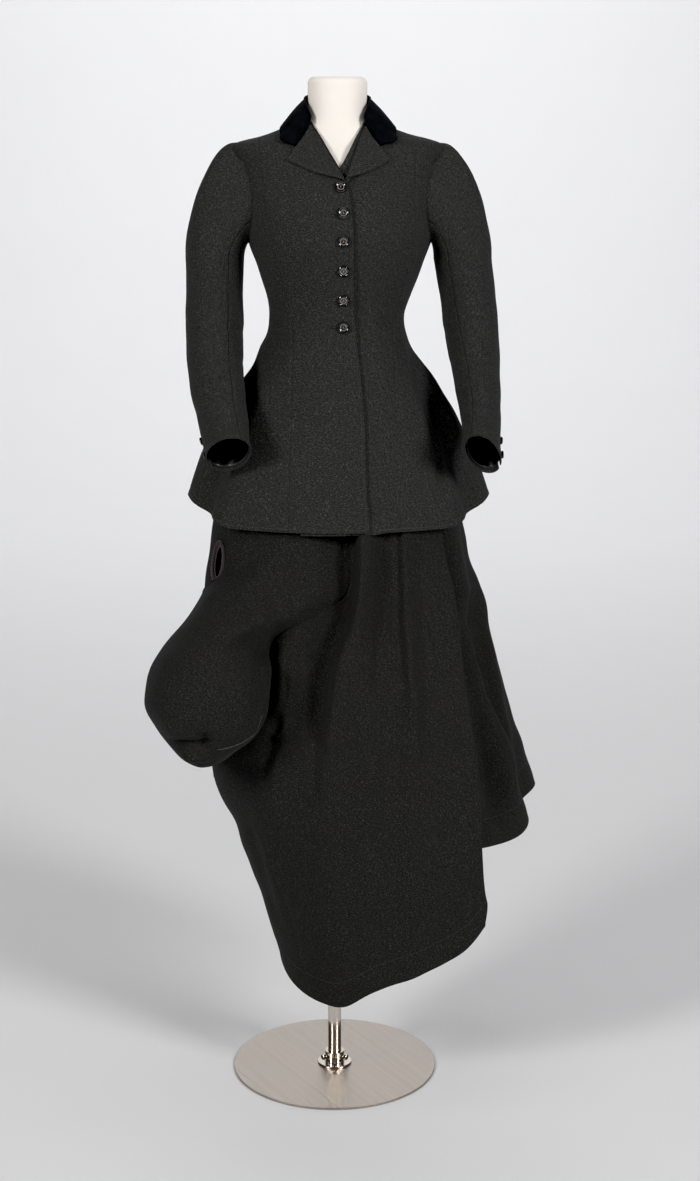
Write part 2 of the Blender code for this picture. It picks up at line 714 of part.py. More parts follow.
def collar_turns():
    """Places along the collar, closer together towards its front ends."""
    fore = np.linspace(0.55, 1.0, 5)
    return np.concatenate((-fore[::-1], np.linspace(-0.40, 0.40, 7), fore))


def collar_top(turn):
    """The collar's fold from one front end round the neck to the other."""
    size = np.abs(turn)
    x = NECK_MIDDLE + read(COLLAR, "x", size) * np.where(turn < 0.0, -1.0, 1.0)
    return np.stack([x, read(COLLAR, "y", size), read(COLLAR, "top", size)], -1)


def collar():
    """The turned-down collar, which lies on the shoulders and the fronts with its outer edge."""
    turn = collar_turns()
    inner = collar_top(turn)
    outer = []
    for t in turn:
        angle = float(read(COLLAR, "angle", abs(t))) * (-1.0 if t < 0.0 else 1.0)
        z = float(read(COLLAR, "low", abs(t)))
        lift = COLLAR_WALL + LAY_GAP + COLLAR_EASE
        outer.append(body_point(angle, z) + body_normal(angle, z) * lift)
    outer = np.array(outer)
    grid = []
    for share in np.linspace(0.0, 1.0, 5):
        row = inner * (1 - share) + outer * share
        away = row - np.array([NECK_MIDDLE, 0.0, 0.0])
        away[:, 2] = 0.0
        away = away / np.linalg.norm(away, axis=1)[:, None]
        puff = 0.0016 * math.sin(math.pi * share)
        row = row + away * puff
        row[:, 2] += puff
        grid.append(row)
    cloth("collar", np.array(grid), COLLAR_WALL, JACKET, (BLACK, 0.9))


def collar_stand():
    """The band that rises from the neck seam and carries the collar's fold."""
    turn = np.linspace(-0.70, 0.70, 13)
    top = collar_top(turn)
    grid = []
    angle = np.array([float(read(COLLAR, "angle", abs(t))) * (-1.0 if t < 0.0 else 1.0) for t in turn])
    low = body_point(angle, np.full(len(turn), ROWS[0]))
    low[:, 2] += LAY_GAP
    top[:, 1] *= STAND_TUCK
    top[:, 2] -= STAND_DROP
    for share in (0.0, 0.5, 1.0):
        grid.append(top * (1 - share) + low * share)
    cloth("collar_stand", np.array(grid), STAND_WALL, JACKET, (WOOL, 0.9))


collar_stand()
collar()


def button(name, place, radius, height, look):
    """A button with a raised rim and a hollowed middle, set on its own matrix."""
    profile = (
        (0.0, 0.0),
        (radius * 0.72, 0.0),
        (radius, height * 0.35),
        (radius * 0.96, height * 0.80),
        (radius * 0.82, height),
        (radius * 0.66, height * 0.74),
        (0.0, height * 0.70),
    )
    turned(name, profile, 14, JACKET, look, place)


def facing(point, outward):
    """A matrix with its Z axis along a direction, at a point."""
    turn = Vector(outward).to_track_quat("Z", "Y").to_matrix().to_4x4()
    turn.translation = Vector(point)
    return turn


BUTTON_ROWS = body_point(button_line(ROWS), ROWS)
for number, z in enumerate((1.496, 1.458, 1.416, 1.371, 1.325, 1.282), 1):
    seat = np.array([np.interp(z, ROWS[::-1], BUTTON_ROWS[::-1, k]) for k in range(3)])
    out = body_normal(float(body_angle(seat[0], z)), z)
    place = facing(seat + out * (LAY_GAP + BUTTON_EASE), out)
    button("button_" + str(number), place, BUTTON_RADIUS, BUTTON_HEIGHT, (BLACK, 0.12))


def cuff_buttons(hand, side, arm):
    """Two small buttons by the vent of a cuff."""
    for number, z in enumerate((1.122, 1.103), 1):
        turn = -26.0
        here = arm_ring(arm, side, turn, z)
        beside = arm_ring(arm, side, turn + 2.0, z) - here
        below = arm_ring(arm, side, turn, z - 0.004) - here
        out = np.cross(beside, below) * -side
        out = out / np.linalg.norm(out)
        if out[0] * side < 0:
            out = -out
        place = facing(here + out * (LAY_GAP + BUTTON_EASE), out)
        name = "cuff_button_" + hand + "_" + str(number)
        button(name, place, CUFF_BUTTON_RADIUS, CUFF_BUTTON_HEIGHT, (BLACK, 0.12))


cuff_buttons("right", -1, RIGHT_ARM)
cuff_buttons("left", 1, LEFT_ARM)

# Skirt
SKIRT_ROWS = np.array(
    [1.285, 1.235, 1.18, 1.10, 1.02, 0.95, 0.91, 0.88, 0.858, 0.843, 0.828, 0.812, 0.790, 0.760]
    + [0.722, 0.685, 0.650, 0.622, 0.604]
)
KNEE_LAYER = 0.0028
# The free edge of the knee piece over the side piece, as an angle by height
KNEE_EDGE = ((0.843, -86.0), (0.858, -76.0), (0.870, -68.0), (0.883, -61.0), (0.905, -57.0))
# The underside of the pouch: heights, and how far each row has closed back onto the skirt
POUCH_FLOOR = ((0.592, 0.30), (0.586, 0.66), (0.587, 1.0))


def pouch_row(z, share, start, end):
    """One level section of the pouch, from the seam round its front to the side piece."""
    left = float(read(POUCH, "left", z))
    front = -float(read(POUCH, "front", z))
    wide = -float(read(POUCH, "wide", z))
    step = float(ease(0.815, 0.755, z))
    hang = 0.008 * float(ease(0.79, 0.73, z))
    peak = start[0] * 0.42 + left * 0.58
    row = []
    for s in share:
        if s < 0.46:
            u = s / 0.46
            soft_x = start[0] + (peak - start[0]) * u
            soft_y = start[1] + (front - start[1]) * float(ease(0.0, 1.0, u))
            brim = start[1] + (front - start[1]) * 0.35
            if u < 0.3:
                turn = u / 0.3 * math.pi / 2.0
                full_x = start[0] + hang * math.sin(turn)
                full_y = brim + (start[1] - brim) * math.cos(turn)
            else:
                turn = (u - 0.3) / 0.7 * math.pi / 2.0
                full_x = peak + (start[0] + hang - peak) * math.cos(turn)
                full_y = brim + (front - brim) * math.sin(turn)
            x = soft_x * (1 - step) + full_x * step
            y = soft_y * (1 - step) + full_y * step
        elif s < 0.76:
            turn = (s - 0.46) / 0.30 * math.pi / 2.0
            x = peak + (left - peak) * math.sin(turn)
            y = wide + (front - wide) * math.cos(turn)
        else:
            turn = (s - 0.76) / 0.24 * math.pi / 2.0
            x = end[0] + (left - end[0]) * math.cos(turn)
            y = wide + (end[1] - wide) * math.sin(turn)
        row.append((x, y, z))
    return np.array(row)


def knee_piece():
    """The front piece over the knee: smooth from the waist, then shaped into the hollow pouch."""
    across = 19
    share = np.linspace(0.0, 1.0, across)
    grid = []
    levels = [(float(z), 0.0) for z in SKIRT_ROWS] + list(POUCH_FLOOR)
    for z, closed in levels:
        gap = gap_angle(z, SKIRT)
        seam = skirt_angle(read(KNEE_SEAM, "x", z), z)
        far = np.interp(z, *zip(*KNEE_EDGE, strict=True))
        angle = (seam - gap) * (1 - share) + far * share
        lay = KNEE_LAYER * ease(1.14, 1.04, z) * ease(0.30, 0.70, share)
        ring = skirt_point(angle, np.full(across, z), lay, 1.0)
        shaped = (1.0 - float(ease(0.835, 0.935, z))) * (1.0 - closed)
        if shaped > 0.0:
            bag = pouch_row(max(z, 0.590), share, ring[0], ring[-1])
            bag[:, 2] = z
            ring = ring * (1.0 - shaped) + bag * shaped
        grid.append(ring)
    points = np.array(grid)[:, ::-1]
    cloth("skirt_knee_piece", points, SKIRT_WALL, SKIRTS, (WOOL, 0.88))


knee_piece()

FRONT_ROWS = np.concatenate((SKIRT_ROWS, [0.589, 0.583, 0.54, 0.515, 0.465, 0.405, 0.345, 0.295, 0.25]))


LEFT_EDGE = -85.9


FRONT_HEM = ((0.0, 0.226), (0.12, 0.195), (0.28, 0.172), (0.42, 0.165), (0.52, 0.172))
FRONT_HEM += ((0.62, 0.205), (0.80, 0.243), (0.93, 0.274), (1.0, 0.322))


def front_hem(share):
    """Height of the long hem from its left end to its right end."""
    return np.interp(share, *zip(*FRONT_HEM, strict=True))


def skirt_front():
    """The long front of the skirt, from the knee piece to the overlap at the wearer's left."""
    rows = FRONT_ROWS
    count = 17
    seam_x = read(KNEE_SEAM, "x", np.clip(rows, 0.590, 1.285))
    left = skirt_angle(seam_x, rows) + gap_angle(rows, SKIRT)
    lower = np.interp(rows, (0.465, 0.515), (-98.0, LEFT_EDGE))
    left = np.where(rows < 0.585, lower, left)
    right = skirt_angle(read(OVERLAP, "x", rows), rows)
    angle = between(left, right, count)
    share = np.linspace(0.0, 1.0, count)
    last = rows[-1]
    drop = np.clip((0.405 - rows) / (0.405 - last), 0.0, 1.0)[:, None]
    z = rows[:, None] + drop * (front_hem(share)[None, :] - last)
    lift = 0.0032 * ease(0.55, 0.76, share)[None, :] * ease(1.22, 1.12, rows)[:, None]
    points = skirt_point(angle, z, lift, 1.0)
    cloth("skirt_front", points, SKIRT_WALL, SKIRTS, (WOOL, 0.88))


skirt_front()

BACK_ROWS = np.array([1.285, 1.235, 1.18, 1.10, 1.02, 0.95, 0.88, 0.81, 0.73, 0.65, 0.57, 0.49, 0.42])
# The rows below this height spread so that the last one lies on the hem
BACK_HEM_START = 0.78


BACK_HEM = ((30.0, 0.449), (58.0, 0.453), (78.0, 0.477), (92.0, 0.493), (105.0, 0.494))
BACK_HEM += ((180.0, 0.460), (225.0, 0.485), (262.0, 0.525))


def back_hem(angle):
    """Height of the hem of the back part of the skirt by angle from 0 to 360."""
    return np.interp(angle, *zip(*BACK_HEM, strict=True))


def back_part(name, start, end, count):
    """A piece of the skirt's side or back between two edges given row by row."""
    angle = between(start, end, count)
    z = np.broadcast_to(BACK_ROWS[:, None], angle.shape)
    share = np.clip((BACK_HEM_START - z) / (BACK_HEM_START - BACK_ROWS[-1]), 0.0, 1.0)
    z = z + share * (back_hem(angle % 360.0) - BACK_ROWS[-1])
    points = skirt_point(angle, z, 0.0, 0.0, 1.0)
    return cloth(name, points, SKIRT_WALL, SKIRTS, (WOOL, 0.88))


back_gap = gap_angle(BACK_ROWS, SKIRT)
laid = ease(1.14, 1.06, BACK_ROWS)
under_edge = skirt_angle(read(OVERLAP, "x", BACK_ROWS) - 0.030 * laid, BACK_ROWS) + 1.4 * (1.0 - laid)
back_part("skirt_back_left", under_edge, 180.0 - back_gap, 13)
back_part("skirt_back_right", 180.0 + back_gap, 250.0 - back_gap, 7)
SIDE_EDGE = ((0.81, 273.5), (0.88, 302.0), (0.95, 307.0), (1.02, 304.6), (1.10, 301.6), (1.285, 301.8))
side_edge = np.interp(BACK_ROWS, *zip(*SIDE_EDGE, strict=True))
side_piece = back_part("skirt_side_right", 250.0 + back_gap, side_edge, 7)

# The slit in the side piece: its middle, half its height and half its width in degrees
SLIT_ANGLE = 295.0
SLIT_LEVEL = 0.915
SLIT_HALF = 0.030
SLIT_OPEN = 3.6


def cut_slit():
    """Opens the slit with a flat spindle through the wall of the side piece."""
    bpy.ops.mesh.primitive_uv_sphere_add(segments=12, ring_count=8, radius=1.0)
    cutter = bpy.context.object
    cutter.name = "slit_cutter"
    for owner in list(cutter.users_collection):
        owner.objects.unlink(cutter)
    CUTTERS.objects.link(cutter)
    here = skirt_point(SLIT_ANGLE, SLIT_LEVEL, 0.0, 0.0, 1.0)
    beside = skirt_point(SLIT_ANGLE + 1.0, SLIT_LEVEL, 0.0, 0.0, 1.0) - here
    beside = beside / np.linalg.norm(beside)
    out = np.array([beside[1], -beside[0], 0.0])
    wide = SLIT_OPEN * np.linalg.norm(skirt_point(SLIT_ANGLE + 1.0, SLIT_LEVEL, 0.0, 0.0, 1.0) - here)
    cutter.matrix_world = facing(here, out)
    cutter.scale = (wide, SLIT_HALF, 0.012)
    cutter.hide_render = True
    cutter.display_type = "WIRE"
    opening = side_piece.modifiers.new("slit", "BOOLEAN")
    opening.operation = "DIFFERENCE"
    opening.solver = "EXACT"
    opening.object = cutter


cut_slit()


def slit_binding():
    """The bound edges of the slit, as one narrow loop that lies on the side piece."""
    curve = bpy.data.curves.new("slit_binding", "CURVE")
    curve.dimensions = "3D"
    curve.bevel_depth = 0.0014
    curve.bevel_resolution = 1
    curve.resolution_u = 1
    line = curve.splines.new("POLY")
    count = 18
    line.points.add(count - 1)
    for k in range(count):
        turn = 2.0 * math.pi * k / count
        z = SLIT_LEVEL + (SLIT_HALF + 0.0012) * math.cos(turn)
        angle = SLIT_ANGLE + (SLIT_OPEN + 1.0) * math.sin(turn)
        x, y, height = skirt_point(angle, z, 0.0014 + LAY_GAP, 0.0, 1.0)
        line.points[k].co = (x, y, height, 1.0)
    line.use_cyclic_u = True
    made = bpy.data.objects.new("slit_binding", curve)
    made.data.materials.append(material("slit_binding_look", BIND, 0.6))
    SKIRTS.objects.link(made)


slit_binding()

# Form and stand


def form():
    """The smooth limbless form, closed above at the neck and below at its flat bottom."""
    heights = (NECK_TOP, 1.6575, 1.650, 1.625, 1.606, 1.595, 1.584, 1.574, 1.564, 1.554, 1.540)
    heights += (1.510, 1.470, 1.430, 1.385, 1.340, 1.310, 1.285, 1.250, 1.200, 1.140, 1.085, 1.045)
    heights += (1.014, FORM_BOTTOM)
    around = 28
    mesh = bpy.data.meshes.new("dress_form")
    work = bmesh.new()
    rings = []
    for z in heights:
        level = min(max(z, 1.040), 1.640)
        shrink = 1.0
        if z > 1.640:
            shrink = 1.0 - 0.10 * ((z - 1.640) / 0.020) ** 5
        if z < 1.045:
            shrink = 1.0 - 0.10 * ((1.045 - z) / 0.045) ** 3
        half = float(read(FORM, "half", level)) * shrink
        middle = float(read(BODY, "middle", level))
        front = float(read(FORM, "front", level)) * shrink
        back = float(read(FORM, "back", level)) * shrink
        ring = []
        for k in range(around):
            turn = 2.0 * math.pi * k / around
            depth = front if math.cos(turn) > 0.0 else back
            ring.append(work.verts.new((middle + half * math.sin(turn), -depth * math.cos(turn), z)))
        rings.append(ring)
    for upper, lower in zip(rings[:-1], rings[1:], strict=True):
        for k in range(around):
            n = (k + 1) % around
            work.faces.new((upper[k], lower[k], lower[n], upper[n]))
    work.faces.new(rings[0])
    work.faces.new(rings[-1][::-1])
    bmesh.ops.recalc_face_normals(work, faces=work.faces)
    for face in work.faces:
        face.smooth = True
    work.to_mesh(mesh)
    work.free()
    add("dress_form", mesh, STAND, (CREAM, 0.6))


form()

BASE_EDGE = 0.0006
turned(
    "base_disc",
    (
        (0.0, 0.0),
        (BASE_RADIUS, 0.0),
        (BASE_RADIUS, BASE_THICKNESS - BASE_EDGE),
        (BASE_RADIUS - BASE_EDGE, BASE_THICKNESS),
        (0.0, BASE_THICKNESS),
    ),
    40,
    STAND,
    (STEEL, 0.3, 1.0),
)
FOOT = BASE_THICKNESS + LAY_GAP
turned(
    "pole",
    ((0.0, FOOT), (POLE_RADIUS, FOOT), (POLE_RADIUS, FORM_BOTTOM - LAY_GAP), (0.0, FORM_BOTTOM - LAY_GAP)),
    24,
    STAND,
    (STEEL, 0.15, 1.0),
    flip=True,
)
INNER = POLE_RADIUS + 0.0004
turned(
    "pole_flange",
    (
        (INNER, FOOT),
        (FLANGE_RADIUS, FOOT),
        (FLANGE_RADIUS, FOOT + FLANGE_THICKNESS),
        (SOCKET_RADIUS, FOOT + FLANGE_THICKNESS),
        (SOCKET_RADIUS, FOOT + SOCKET_HEIGHT),
        (INNER, FOOT + SOCKET_HEIGHT),
        (INNER, FOOT),
    ),
    24,
    STAND,
    (STEEL, 0.2, 1.0),
    flip=True,
)
for number, turn in enumerate((215.0, 325.0, 270.0), 1):
    angle = math.radians(turn)
    direction = (math.cos(angle), math.sin(angle), 0.0)
    start = SOCKET_RADIUS + 0.0004
    height = FOOT + (0.0145 if number < 3 else 0.0125)
    place = facing((direction[0] * start, direction[1] * start, height), direction)
    profile = ((0.0, 0.0), (0.0022, 0.0), (0.0022, 0.004), (0.0050, 0.004), (0.0050, 0.009), (0.0, 0.009))
    turned("stand_screw_" + str(number), profile, 12, STAND, (STEEL, 0.2, 1.0), place, flip=True)
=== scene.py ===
# %% [markdown]
# # A sidesaddle riding habit, dressed for its picture
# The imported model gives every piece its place: a jacket, an apron skirt, a limbless form and its stand.
# Here each of those plain pieces is cut again in finer cloth. Each one is a surface worked out as a whole
# array of points, so one line of numbers shapes a whole panel. Lengths are metres, up is +Z, and the
# front of the habit faces -Y, which puts the wearer's right at -X.

# %% the frame
import math

import bpy
import numpy as np
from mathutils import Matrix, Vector


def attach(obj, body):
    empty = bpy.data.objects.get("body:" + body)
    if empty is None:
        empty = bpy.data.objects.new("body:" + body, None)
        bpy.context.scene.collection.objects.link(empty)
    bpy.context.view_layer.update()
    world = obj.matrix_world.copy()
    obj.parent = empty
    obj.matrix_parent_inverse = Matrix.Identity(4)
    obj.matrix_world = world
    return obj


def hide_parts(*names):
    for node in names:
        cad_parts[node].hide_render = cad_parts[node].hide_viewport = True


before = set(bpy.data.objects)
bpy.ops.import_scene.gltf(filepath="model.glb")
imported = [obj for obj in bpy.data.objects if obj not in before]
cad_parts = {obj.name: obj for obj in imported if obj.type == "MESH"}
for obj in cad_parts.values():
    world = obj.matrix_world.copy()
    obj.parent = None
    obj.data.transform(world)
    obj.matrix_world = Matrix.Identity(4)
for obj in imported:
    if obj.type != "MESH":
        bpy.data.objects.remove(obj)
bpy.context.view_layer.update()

# %% [markdown]
# ## Camera
# The picture was taken a little above the habit's collar, looking down on the stand. A long lens keeps
# the tall figure free of distortion. The picture's black is set a little deep, as in the photograph.

# %% camera
CAMERA_PLACE = (0.0, -3.4, 1.6495)
CAMERA_DOWN = 13.372
CAMERA_TURN = -0.4460
LENS = 65.0
SENSOR_HEIGHT = 36.0
BLACK_POINT = 0.0055


def into_scene(name, data):
    """Puts a camera, a light or a mesh into the scene as a new object."""
    made = bpy.data.objects.new(name, data)
    bpy.context.scene.collection.objects.link(made)
    return made


lens = bpy.data.cameras.new("studio_camera")
lens.lens = LENS
lens.sensor_fit = "VERTICAL"
lens.sensor_height = SENSOR_HEIGHT
camera = into_scene("studio_camera", lens)
camera.location = CAMERA_PLACE
camera.rotation_euler = (math.radians(90.0 - CAMERA_DOWN), 0.0, math.radians(CAMERA_TURN))
bpy.context.scene.camera = camera
picture = bpy.context.scene.view_settings
picture.view_transform = "Standard"
picture.use_curve_mapping = True
picture.curve_mapping.black_level = (BLACK_POINT, BLACK_POINT, BLACK_POINT)
picture.curve_mapping.update()
print("camera", LENS, "mm,", CAMERA_DOWN, "degrees down")

# %% [markdown]
# ## Meshes from grids
# A panel of cloth is a grid of points: its rows go down the piece and its columns go towards the
# wearer's left. One function turns such a grid into a mesh of squares and lays a map of real metres on
# it, so that a weave has the same size on every panel.


# %% grids of points
def lengths(points, axis):
    """Distance run along the cloth from its first row or column: the running sum of the steps."""
    steps = np.linalg.norm(np.diff(points, axis=axis), axis=2)
    start = np.zeros_like(steps[:1] if axis == 0 else steps[:, :1])
    return np.concatenate((start, np.cumsum(steps, axis=axis)), axis=axis)


def stacked(*parts):
    """Arrays of shapes that fit each other, side by side as the parts of points or of faces."""
    return np.stack(np.broadcast_arrays(*parts), axis=-1)


def unit(vectors):
    """Vectors over their own lengths, so that each has length 1."""
    return vectors / np.maximum(np.linalg.norm(vectors, axis=-1, keepdims=True), 1e-12)


def outward(points):
    """Unit normals of a grid: the cross product of its way down and its way across."""
    return unit(np.cross(np.gradient(points, axis=0), np.gradient(points, axis=1)))


def raised(points, lift):
    """A grid whose points are moved along their normals, each by its own lift."""
    return points + outward(points) * lift[..., None]


# %% arrays to mesh
def plain_mesh(name, points, faces, uv=None):
    """A smooth mesh from points and rows of four corner numbers, with a map in metres if one is given.

    A corner that is named twice counts once, which makes the triangles round a pole.
    """
    mesh = bpy.data.meshes.new(name)
    faces = [tuple(dict.fromkeys(face)) for face in faces.tolist()]
    mesh.from_pydata(points.reshape(-1, 3).tolist(), [], faces)
    mesh.polygons.foreach_set("use_smooth", np.ones(len(faces), bool))
    if uv is not None:
        corners = np.zeros(len(mesh.loops), np.int32)
        mesh.loops.foreach_get("vertex_index", corners)
        layer = mesh.uv_layers.new(name="cloth")
        layer.data.foreach_set("uv", uv.reshape(-1, 2)[corners].astype(np.float32).ravel())
    return mesh


def grid_faces(rows, across):
    """Corner numbers of the squares of a grid, one row of four for each square."""
    first = (np.arange(rows - 1)[:, None] * across + np.arange(across - 1)).ravel()
    return np.stack((first, first + across, first + across + 1, first + 1), 1)


def polar_faces(rings, across, closed=True):
    """Squares between rings, and triangles to a pole that is the first point and one that is the last."""
    numbers = 1 + np.arange(rings * across).reshape(rings, across)
    numbers = np.vstack((np.zeros(across, int), numbers, np.full(across, rings * across + 1)))
    if closed:
        numbers = np.hstack((numbers, numbers[:, :1]))
    return stacked(numbers[:-1, :-1], numbers[:-1, 1:], numbers[1:, 1:], numbers[1:, :-1]).reshape(-1, 4)


# %% [markdown]
# ## Shader sums
# Finishes are sums and products of patterns. A small class wraps one output of a shader node, so that
# a sum in the script adds a Math node to the material, and one method makes every other node.


# %% shader class
class Wire:
    """One output of a shader node. Arithmetic on wires adds Math nodes."""

    def __init__(self, finish, socket):
        self.finish = finish
        self.socket = socket

    def math(self, operation, *values):
        """A Math node on the values given."""
        return self.finish.node("ShaderNodeMath", {"operation": operation}, dict(enumerate(values)))

    def __add__(self, other):
        return self.math("ADD", self, other)

    def __sub__(self, other):
        return self.math("SUBTRACT", self, other)

    def __rsub__(self, other):
        return self.math("SUBTRACT", other, self)

    def __mul__(self, other):
        return self.math("MULTIPLY", self, other)

    __radd__ = __add__
    __rmul__ = __mul__

    def wave(self):
        """0 to 1 and back, once for each 2 pi."""
        return self.math("SINE", self) * 0.5 + 0.5

    def span(self, low, high):
        """0 below low, 1 above high, even between."""
        return self.finish.node(
            "ShaderNodeMapRange", {"clamp": True}, {0: self, 1: low, 2: high, 3: 0.0, 4: 1.0}
        )


# %% finish class
class Finish:
    """A material that is built from nodes. Constants are set on the shader's own sockets."""

    def __init__(self, name, colour, **fixed):
        self.material = bpy.data.materials.new(name)
        self.material.use_nodes = True
        self.tree = self.material.node_tree
        self.shader = self.tree.nodes["Principled BSDF"]
        self.material.diffuse_color = (*colour, 1.0)
        self.shader.inputs["Base Color"].default_value = (*colour, 1.0)
        for key, value in fixed.items():
            self.shader.inputs[key.replace("_", " ")].default_value = value

    def node(self, kind, settings=None, inputs=None, output=0):
        """Any node: its settings first, then the values or wires of its sockets."""
        made = self.tree.nodes.new(kind)
        for key, value in (settings or {}).items():
            setattr(made, key, value)
        for key, value in (inputs or {}).items():
            if isinstance(value, Wire):
                self.tree.links.new(value.socket, made.inputs[key])
            else:
                made.inputs[key].default_value = value
        return Wire(self, made.outputs[output])

    def place(self, scale=(1.0, 1.0, 1.0), turn=0.0, mapped=False):
        """Places on the cloth's map or in the object, turned by degrees about Z and scaled."""
        start = self.node("ShaderNodeTexCoord", output="UV" if mapped else "Object")
        turned = self.node("ShaderNodeMapping", None, {0: start, 2: (0.0, 0.0, math.radians(turn))})
        return self.node("ShaderNodeVectorMath", {"operation": "MULTIPLY"}, {0: turned, 1: scale})

    def axes(self, vector):
        """The parts x, y and z of a vector as three wires."""
        made = self.node("ShaderNodeSeparateXYZ", None, {0: vector})
        return [Wire(self, socket) for socket in made.socket.node.outputs]

    def noise(self, vector, scale, detail=2.0, roughness=0.5):
        """Soft noise from 0 to 1 with a number of blots in a metre."""
        inputs = {"Vector": vector, "Scale": scale, "Detail": detail, "Roughness": roughness}
        return self.node("ShaderNodeTexNoise", None, inputs)

    def mix(self, share, first, second):
        """Between two colours by a share."""
        inputs = {0: share, 6: self.colour(first), 7: self.colour(second)}
        return self.node("ShaderNodeMix", {"data_type": "RGBA"}, inputs, 2)

    @staticmethod
    def colour(value):
        """A colour as four numbers, or a wire as it is."""
        return value if isinstance(value, Wire) else (*value, 1.0)

    def bump(self, height, depth, strength=1.0):
        """Feeds a height pattern of a real depth to the shader's normal."""
        inputs = {"Height": height, "Distance": depth, "Strength": strength}
        self.set("Normal", self.node("ShaderNodeBump", None, inputs))

    def set(self, socket, wire):
        """Feeds one socket of the shader."""
        self.tree.links.new(wire.socket, self.shader.inputs[socket])


# %% [markdown]
# ## Wool
# The habit is a charcoal twill: fine diagonal ribs, yarn of two greys with light hairs in it, and a nap
# that dulls it all. The ribs follow the cloth's own map. The mottling is noise in space, stretched
# along the ribs, so it runs on over the seams. The skirt's cloth has faded a little towards brown, and its
# colours are set darker than the jacket's as painted shade, for less light falls on the lower figure.


# %% wool finishes
TWILL_PITCH = 0.0024
TWILL_TURN = 52.0


def wool(name, dark, light, fleck, faded):
    """Twill colour: dark to light by rib and yarn noise, flecked with hairs, faded in broad clouds."""
    made = Finish(name, light, Roughness=0.92, Sheen_Weight=0.035, Sheen_Roughness=0.4)
    made.shader.inputs["Sheen Tint"].default_value = (0.62, 0.66, 0.68, 1.0)
    made.shader.inputs["Specular IOR Level"].default_value = 0.12
    along = made.place(turn=TWILL_TURN, mapped=True)
    x = made.axes(along)[0]
    wander = made.noise(made.place(), 420.0, 1.0)
    rib = (x * (2.0 * math.pi / TWILL_PITCH) + wander * 5.0).wave()
    yarn = made.noise(made.place((1.0, 0.5, 1.0), TWILL_TURN, True), 560.0, 3.0, 0.8)
    hair = made.noise(made.place((0.6, 1.0, 0.8), 20.0), 620.0, 2.0, 0.7).span(0.58, 0.68)
    cloud = made.noise(made.place(), 9.0, 4.0, 0.55).span(0.30, 0.72)
    share = (yarn.span(0.36, 0.64) * 0.82 + rib * 0.18).span(0.12, 0.88)
    body = made.mix(share, dark, light)
    body = made.mix(cloud * 0.42, body, faded)
    made.set("Base Color", made.mix(hair * 0.55, body, fleck))
    made.set("Roughness", cloud * 0.08 + 0.86)
    made.bump(rib * 0.5 + yarn * 0.9 + hair * 0.3, 0.0007, 0.55)
    return made.material


JACKET_WOOL = wool(
    "charcoal_twill",
    dark=(0.0050, 0.0052, 0.0054),
    light=(0.0400, 0.0404, 0.0394),
    fleck=(0.110, 0.110, 0.104),
    faded=(0.0245, 0.0242, 0.0228),
)
# The skirt's twill is the same charcoal, faded towards brown, with colours set darker than the jacket's as
# painted shade.
SHADED_SKIRT_WOOL = wool(
    "skirt_twill_shaded",
    dark=(0.0036, 0.0038, 0.0040),
    light=(0.0256, 0.0259, 0.0252),
    fleck=(0.072, 0.070, 0.064),
    faded=(0.0170, 0.0158, 0.0140),
)
print("wool:", JACKET_WOOL.name, SHADED_SKIRT_WOOL.name)

# %% [markdown]
# ## The other finishes
# Velvet drinks the light and gives it back only at a slant, satin does the reverse. The form is covered
# in cream jersey. The stand has a brushed plate, whose grain is noise drawn out along one line, and a
# polished pole.


# %% velvet and satin
def velvet():
    """Pile: nearly black, with a blue sheen, brushed a little lighter in blots."""
    made = Finish("collar_velvet_pile", (0.0036, 0.0040, 0.0054), Sheen_Weight=0.05, Sheen_Roughness=0.3)
    made.shader.inputs["Sheen Tint"].default_value = (0.30, 0.34, 0.42, 1.0)
    made.shader.inputs["Specular IOR Level"].default_value = 0.10
    pile = made.noise(made.place(), 1600.0, 2.0)
    brushed = made.noise(made.place(), 70.0, 3.0).span(0.35, 0.75)
    made.set("Base Color", made.mix(brushed * pile, (0.0020, 0.0022, 0.0031), (0.0070, 0.0076, 0.0100)))
    made.set("Roughness", pile * 0.12 + 0.84)
    made.bump(pile, 0.0005, 0.4)
    return made.material


def satin():
    """Black satin: smooth, with the faint line of its long floats."""
    made = Finish("cuff_satin", (0.008, 0.008, 0.010), Roughness=0.3, Coat_Weight=0.15)
    across = made.axes(made.place(mapped=True))[1]
    thread = (across * (2.0 * math.pi / 0.0006)).wave()
    soft = made.noise(made.place(), 160.0, 3.0)
    made.set("Base Color", made.mix(soft, (0.0025, 0.0025, 0.0035), (0.008, 0.0078, 0.0095)))
    made.set("Roughness", soft * 0.20 + 0.24)
    made.bump(thread * 0.3 + soft, 0.0004, 0.4)
    return made.material


# %% gloss and thread
def gloss(name, low, high, rough):
    """Polished black of the buttons, with fine rubbing marks in the shine. Given light greys, it paints the
    highlight ring round a button's eye.
    """
    made = Finish(name, high, Coat_Weight=1.0, Coat_Roughness=0.03)
    rub = made.noise(made.place((1.0, 1.0, 4.0), 30.0), 900.0, 3.0)
    made.set("Base Color", made.mix(rub, low, high))
    made.set("Roughness", rub.span(0.35, 0.85) * 0.10 + rough)
    made.bump(rub, 0.00002, 0.1)
    return made.material


def thread(name, low, high, pitch=0.0009):
    """Twisted thread: a fine slanting stripe between two shades of one colour."""
    made = Finish(name, high, Roughness=0.75, Sheen_Weight=0.2)
    x, y, z = made.axes(made.place())
    twist = ((x + y + z * 1.6) * (2.0 * math.pi / pitch)).wave()
    fuzz = made.noise(made.place(), 1200.0, 2.0)
    made.set("Base Color", made.mix(twist * 0.6 + fuzz * 0.4, low, high))
    made.set("Roughness", fuzz * 0.15 + 0.66)
    made.bump(twist, 0.0002, 0.5)
    return made.material


